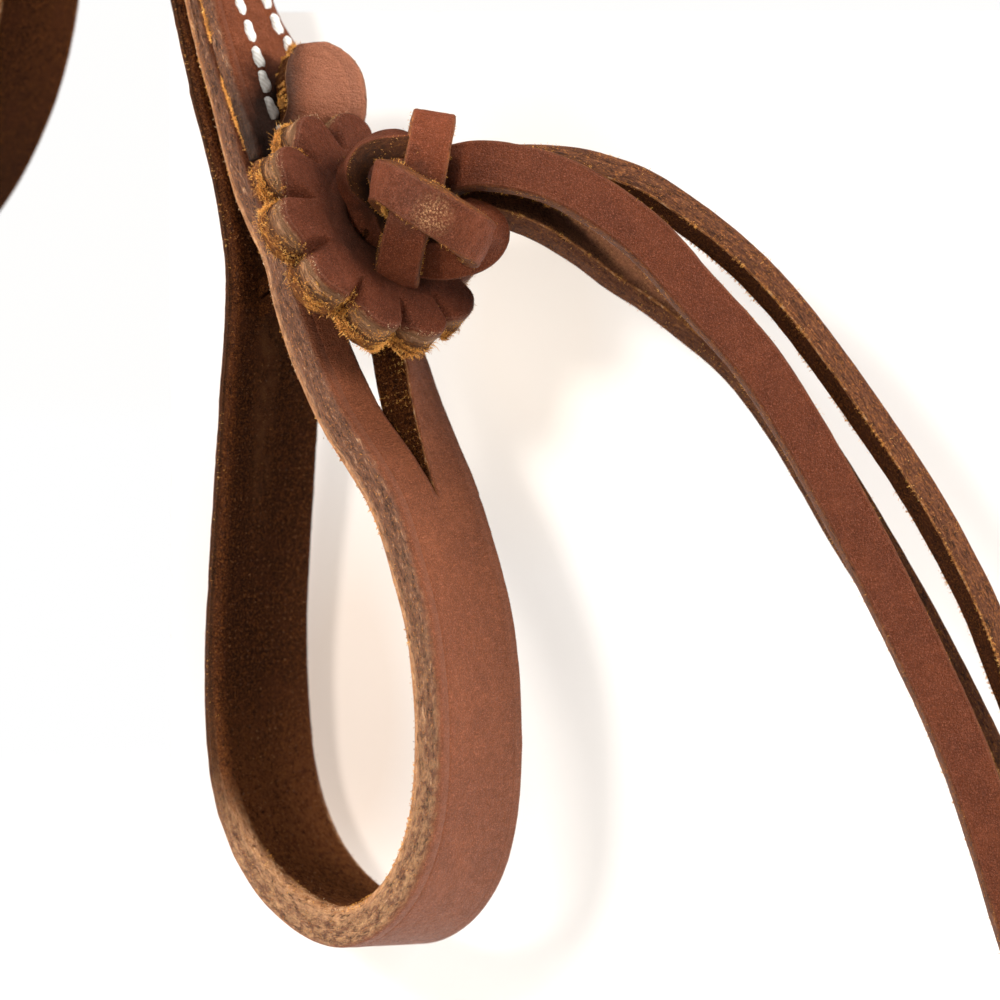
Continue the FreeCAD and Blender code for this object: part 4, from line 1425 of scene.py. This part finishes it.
# Turns at the right and runs back to the left below the wrap.
KNOT_RETURN = [
    (12.2, 74.6, 11.4, .3, .8, .5), (14.4, 73.9, 12.4, .6, .6, .5),
    (15.8, 72.8, 12.4, .85, .2, .5), (16.2, 71.4, 11.8, .8, -.3, .55),
    (15.0, 70.1, 11.0, .35, -.55, .75), (12.8, 69.2, 10.2, .1, -.4, .9),
    (10.4, 68.8, 9.0, 0, -.35, .95), (8.2, 68.9, 7.6, -.1, -.35, .9),
    (6.4, 69.4, 6.6, -.2, -.35, .9)]
# Stands on edge round the left of the knot: place only.
KNOT_RING = [
    (8.4, 80.2, 11.6), (7.2, 81.7, 12.0), (5.2, 82.55, 12.0), (2.9, 82.75, 11.5),
    (0.6, 81.9, 10.6), (-1.0, 79.9, 9.8), (-1.6, 77.3, 9.2), (-1.2, 74.8, 8.8),
    (0.2, 72.6, 8.6), (2.6, 71.2, 8.6), (5.2, 70.8, 8.7)]
KNOT_RING_CENTRE = (3.9, 77.4, 9.6)


def knot_lace(name, replaced, table, **settings):
    table = np.array(table, float)
    ob = lace(name, replaced, fan(table[:, :3]), fan(table[:, 3:]), **settings)
    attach(ob, "knot")


def build_knot_ring():
    """The ring's grain faces outward and its width stands up from the rosette."""
    points = fan(KNOT_RING)
    outward = points - fan(KNOT_RING_CENTRE)[0]
    outward = unit(outward - (outward @ TIE_AXIS)[:, None] * TIE_AXIS) + TIE_AXIS * 0.16
    # painted shade: the ring's edges, inside the knot, take the darkened flesh colour
    ob = lace("knot_ring_lace", "knot_ring", points, outward, width=6.1, thickness=3.0,
              seed=77, fibres=420, rubbed=0.75)
    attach(ob, "knot")


def build_tie():
    """Two strands through the layers, and the bight that joins them behind the rein."""
    depths = (-23.4, -20, -14, -8, -3, -1.0, 0.9)
    for name, replaced, sign, seed in (("tie_strand_upper", "tie_shank_upper", 1, 81),
                                       ("tie_strand_lower", "tie_shank_lower", -1, 83)):
        points = np.array([tie_point(depth, 1.2 * sign) for depth in depths])
        # painted shade: the strands, in the fold, are coloured as dark flesh all round
        ob = lace(name, replaced, points, np.tile(TIE_UP * sign, (len(points), 1)), width=5.2,
                  thickness=2.1, seed=seed, fibres=40, step=0.8, rubbed=2.0, all_flesh=True)
        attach(ob, "lead")
    # along and up in the tie frame, then the normal's shares along and up
    bight = [(-20.8, 1.7, 0, 1), (-22.6, 1.75, 0, 1), (-23.9, 1.2, -.7, .7), (-24.3, 0.0, -1, 0),
             (-23.9, -1.2, -.7, -.7), (-22.6, -1.75, 0, -1), (-20.8, -1.7, 0, -1)]
    points = np.array([tie_point(along, up) for along, up, _, _ in bight])
    normals = np.array([TIE_UP * up + TIE_AXIS * along for _, _, along, up in bight])
    ob = lace("tie_bight_lace", "tie_bight", points, normals, width=5.2, thickness=1.3,
              seed=85, fibres=90, step=0.35)
    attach(ob, "lead")


knot_lace("knot_crown_lace", "knot_crown", KNOT_CROWN, width=5.4, thickness=2.3, seed=71)
knot_lace("knot_drop_lace", "knot_drop", KNOT_DROP, width=5.5, thickness=2.3, seed=73)
knot_lace("knot_wrap_lace", "knot_wrap", KNOT_WRAP, thickness=2.4, seed=75, fibres=700,
          width=[5.0, 5.0, 5.1, 5.2, 5.5, 5.8, 5.9, 5.9, 5.8, 5.6, 5.3], crown=0.12,
          material=WORN_LACE_LEATHER_WITH_HIGHLIGHT)
build_knot_ring()
knot_lace("knot_return_lace", "knot_return", KNOT_RETURN, thickness=2.3, seed=79, fibres=320,
          width=[4.8, 4.9, 5.0, 5.1, 5.3, 5.4, 5.4, 5.2, 5.0], rubbed=0.6)
build_tie()

# ------------------------------------------------------------------ tails
# Middle lines in the fan frame: right, up, toward.
TAIL_A = [
    (5.4, 78.6, 8.4), (7.6, 78.9, 8.8), (9.6, 79.2, 9.6), (11.9, 79.85, 10.9),
    (14.67, 80.21, 11.6), (19.66, 79.59, 11.8), (24.64, 78.1, 11.8), (29.63, 75.35, 11.7),
    (35.61, 70.87, 11.6), (40.85, 65.01, 11.6), (46.21, 59.15, 11.6), (50.07, 54.41, 11.6),
    (54.69, 47.05, 11.6), (59.55, 38.45, 11.6), (64.53, 29.1, 11.6), (69.52, 19.01, 11.6),
    (74.26, 8.53, 11.6), (77.62, -0.82, 11.6), (80.49, -10.16, 11.6), (82.61, -18.89, 11.6),
    (83.98, -27.3, 11.6)]
TAIL_B = [
    (10.5, 79.6, 6.6), (13.5, 80.3, 7.0), (16.91, 80.78, 7.0), (20.94, 80.9, 7.0),
    (26.61, 80.53, 7.0), (31.4, 79.27, 7.0), (35.81, 77.5, 7.0), (40.72, 74.23, 7.0),
    (44.62, 71.3, 7.0), (49.03, 67.4, 7.0), (53.95, 62.0, 7.0), (58.98, 55.4, 7.0),
    (63.65, 48.8, 7.0), (68.81, 41.2, 7.0), (72.84, 34.4, 7.0), (77.38, 25.6, 7.0),
    (80.78, 17.04, 7.0), (83.93, 8.22, 7.0), (86.45, 0.9, 7.0)]
TAIL_C = [
    (9.0, 75.0, 6.0), (12.0, 75.8, 5.4), (14.96, 75.8, 4.6), (19.1, 75.0, 2.6),
    (23.37, 73.4, 0.2), (27.9, 70.9, -2.2), (32.04, 68.0, -4.0), (36.9, 65.0, -5.0),
    (42.3, 60.9, -5.0), (47.8, 56.1, -5.0), (52.8, 49.6, -5.0), (57.6, 41.8, -5.0),
    (62.2, 33.4, -5.0), (66.0, 25.6, -5.0)]
TAIL_D = [
    (9.4, 78.2, 4.4), (12.6, 79.6, 3.2), (15.89, 80.2, 2.2), (20.99, 79.9, 1.4),
    (27.37, 77.4, 1.1), (33.76, 73.4, 1.1), (39.63, 68.3, 1.1), (45.3, 62.5, 1.1),
    (50.35, 56.4, 1.1), (55.2, 49.5, 1.1), (60.0, 42.2, 1.1), (64.39, 35.0, 1.1),
    (68.4, 28.1, 1.1), (72.3, 21.1, 1.1), (75.88, 14.1, 1.1), (79.1, 7.6, 1.1),
    (81.75, 1.6, 1.1), (84.0, -4.0, 1.1)]
TAIL_C_WIDTHS = [5.4, 5.6, 5.9, 6.3] + [6.6] * 5 + [6.4, 6.2, 6.0, 5.8, 5.8]


def build_tail(letter, line, hinge, toward, outward, width, **settings):
    """toward and outward: shares of the grain normal toward the camera and up to the right."""
    t = tangent(np.array(line, float)[:, :2])
    normals = fan(columns(-t[:, 1] * outward, t[:, 0] * outward, toward))
    widths = np.array(np.broadcast_to(width, len(line)), float)
    widths[-2:] = widths.max() * 0.8, 1.3             # pointed end
    tail = lace(f"tail_{letter}_lace", f"tail_{letter}", fan(line), normals, widths, step=0.7,
                lengths=(0.12, 0.5), grain_radius=0.5, flesh_radius=0.25, crease=0.9, **settings)
    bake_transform(tail)


build_tail("a", TAIL_A, hinge=(14.9, 80.2, 11.6), toward=1.0, outward=0.22, width=6.2,
           thickness=2.2, seed=91, fibres=900)
build_tail("b", TAIL_B, hinge=(17.8, 80.6, 7.0), toward=-0.27, outward=0.96, width=5.6,
           thickness=3.15, seed=93, fibres=2200)
build_tail("c", TAIL_C, hinge=(17.0, 76.4, -5.0), toward=-0.55, outward=-0.82,
           width=TAIL_C_WIDTHS, thickness=2.7, seed=95, fibres=1400, rubbed=0.1,
           material=LACE_LEATHER_PAINTED_LIGHT)
build_tail("d", TAIL_D, hinge=(17.9, 80.3, 1.1), toward=-0.30, outward=0.9, width=5.6,
           thickness=2.4, seed=97, fibres=520)

# ------------------------------------------------------------------ stage
WORLD_STRENGTH = 0.14                   # of the studio as it lights the object
PAPER_GLOW = 0.11
SOFT_WHITE = (1, 0.995, 0.985)


def stage_plane(name, centre, u, v, half_u, half_v):
    corners = [centre + u * (half_u * a) + v * (half_v * b)
               for a, b in ((-1, -1), (1, -1), (1, 1), (-1, 1))]
    mesh = bpy.data.meshes.new(name)
    mesh.from_pydata([tuple(corner * MM) for corner in corners], [], [(0, 1, 2, 3)])
    mesh.update()
    ob = bpy.data.objects.new(name, mesh)
    bpy.context.scene.collection.objects.link(ob)
    return ob


def floor_material():
    """Pale near the middle, fading to plain white further out."""
    material, g = new_material("pale_floor")
    place = g.node("ShaderNodeTexCoord").outputs["Object"]
    away = g.fade(g.vector_math("LENGTH", place).outputs["Value"], 0.13, 0.42)
    mottle = g.fade(g.noise(place, scale=30, detail=4), 0.3, 0.7, 0.0, 0.25)
    pale = g.glowing_diffuse(g.mix(mottle, (0.66, 0.655, 0.645), (0.62, 0.61, 0.60)),
                             SOFT_WHITE, 0.40)
    g.output(g.mix_shader(away, pale, g.emission((1, 1, 1), 1.0)))
    return material


def paper_material():
    """Paper with soft shade in two places, seen only from near the camera's direction."""
    material, g = new_material("pale_paper")
    geometry = g.node("ShaderNodeNewGeometry")
    place = geometry.outputs["Position"]
    seen = g.math("GREATER_THAN", g.dot(geometry.outputs["Incoming"], TOWARD),
                  math.cos(math.radians(12.5)))

    def patch(right, up, half_width, half_height, amount):
        """Oval patch in the fan frame, in mm."""
        squares = [g.math("POWER", g.math("ABSOLUTE", g.math(
            "SUBTRACT", g.dot(place, axis * 1000.0 / size), middle / size)), 2.0)
            for axis, middle, size in ((RIGHT, right, half_width), (UP, up, half_height))]
        return g.fade(g.math("SQRT", g.math("ADD", *squares)), 1.0, 0.35, 0.0, amount)

    painted_lighting = g.mix(patch(-3.0, 10.0, 15.0, 40.0, amount=1.0), (1, 1, 1), (0.88, 0.79, 0.72))
    painted_lighting = g.mix(patch(22.0, 62.0, 19.0, 34.0, amount=0.75), painted_lighting, (0.90, 0.84, 0.77),
                 "MULTIPLY")
    paper = g.glowing_diffuse(g.mix(1.0, painted_lighting, (0.80, 0.765, 0.735), "MULTIPLY"),
                              g.mix(1.0, painted_lighting, (1, 0.985, 0.97), "MULTIPLY"), PAPER_GLOW)
    clear = g.node("ShaderNodeBsdfTransparent").outputs[0]
    g.output(g.mix_shader(seen, clear, paper))
    return material


floor = stage_plane("floor", vec(-40, 15, -46.0), vec(1, 0, 0), Y_AXIS, 2600, 2600)
floor.data.materials.append(floor_material())
backdrop = stage_plane("backdrop", fan((31, 37, -22.5))[0], RIGHT, UP, 58, 67)
backdrop.visible_diffuse = False
backdrop.visible_glossy = False
backdrop.visible_shadow = False
backdrop.visible_transmission = False
backdrop.data.materials.append(paper_material())

# the camera sees a white studio; the object is lit by a dimmer version of it
world = bpy.data.worlds.new("studio")
bpy.context.scene.world = world
world.use_nodes = True
studio = Graph(world.node_tree)
background = world.node_tree.nodes.get("Background")
studio.feed(background.inputs[0], SOFT_WHITE)
camera_ray = studio.node("ShaderNodeLightPath").outputs["Is Camera Ray"]
studio.feed(background.inputs[1], studio.mix_value(camera_ray, WORLD_STRENGTH, 1.0))

# ------------------------------------------------------------------ lights and camera
LIGHT_TARGET = vec(0, 0, 55)
# name, direction in the fan frame, distance in mm, size in m, power in W, colour
LIGHTS = [
    ("box_left", (-0.90, 0.38, 0.10), 800, 0.36, 11.0, (1, 0.975, 0.94)),
    ("box_right", (0.90, 0.36, 0.22), 800, 0.40, 9.5, (1, 0.985, 0.96)),
    ("soft_top", (0.1, 0.95, 0.05), 850, 0.45, 5.0, (1, 0.99, 0.97)),
    ("key_front", (-0.42, 0.32, 0.85), 900, 0.13, 4.2, (1, 0.975, 0.94))]
CAMERA_TARGET = vec(12.9, 11.5, 38.4)
CAMERA_DISTANCE = 450.0

for name, direction, distance, size, power, colour in LIGHTS:
    data = bpy.data.lights.new(name, "AREA")
    data.energy = power
    data.size = size
    data.color = colour
    place = LIGHT_TARGET + unit(fan(direction)[0]) * distance
    light = bpy.data.objects.new(name, data)
    light.location = Vector(tuple(place * MM))
    aim = Vector(tuple((LIGHT_TARGET - place) * MM))
    light.rotation_euler = aim.to_track_quat("-Z", "Y").to_euler()
    bpy.context.scene.collection.objects.link(light)

lens = bpy.data.cameras.new("camera")
camera = bpy.data.objects.new("camera", lens)
bpy.context.scene.collection.objects.link(camera)
camera.location = Vector(tuple((CAMERA_TARGET + TOWARD * CAMERA_DISTANCE) * MM))
camera.rotation_mode = "QUATERNION"
view_axes = Matrix((tuple(RIGHT), tuple(UP), tuple(TOWARD))).transposed()
camera.rotation_quaternion = view_axes.to_quaternion()
lens.lens = 126.6
lens.sensor_width = 36.0
lens.clip_start = 0.01
lens.clip_end = 20
focus = bpy.data.objects.new("focus", None)
focus.location = Vector(tuple((TIE_ORIGIN + TOWARD * 4) * MM))
bpy.context.scene.collection.objects.link(focus)
lens.dof.use_dof = True
lens.dof.focus_object = focus
lens.dof.aperture_fstop = 20.0
bpy.context.scene.camera = camera
bpy.context.scene.view_settings.view_transform = "Standard"
bpy.context.scene.view_settings.look = "None"
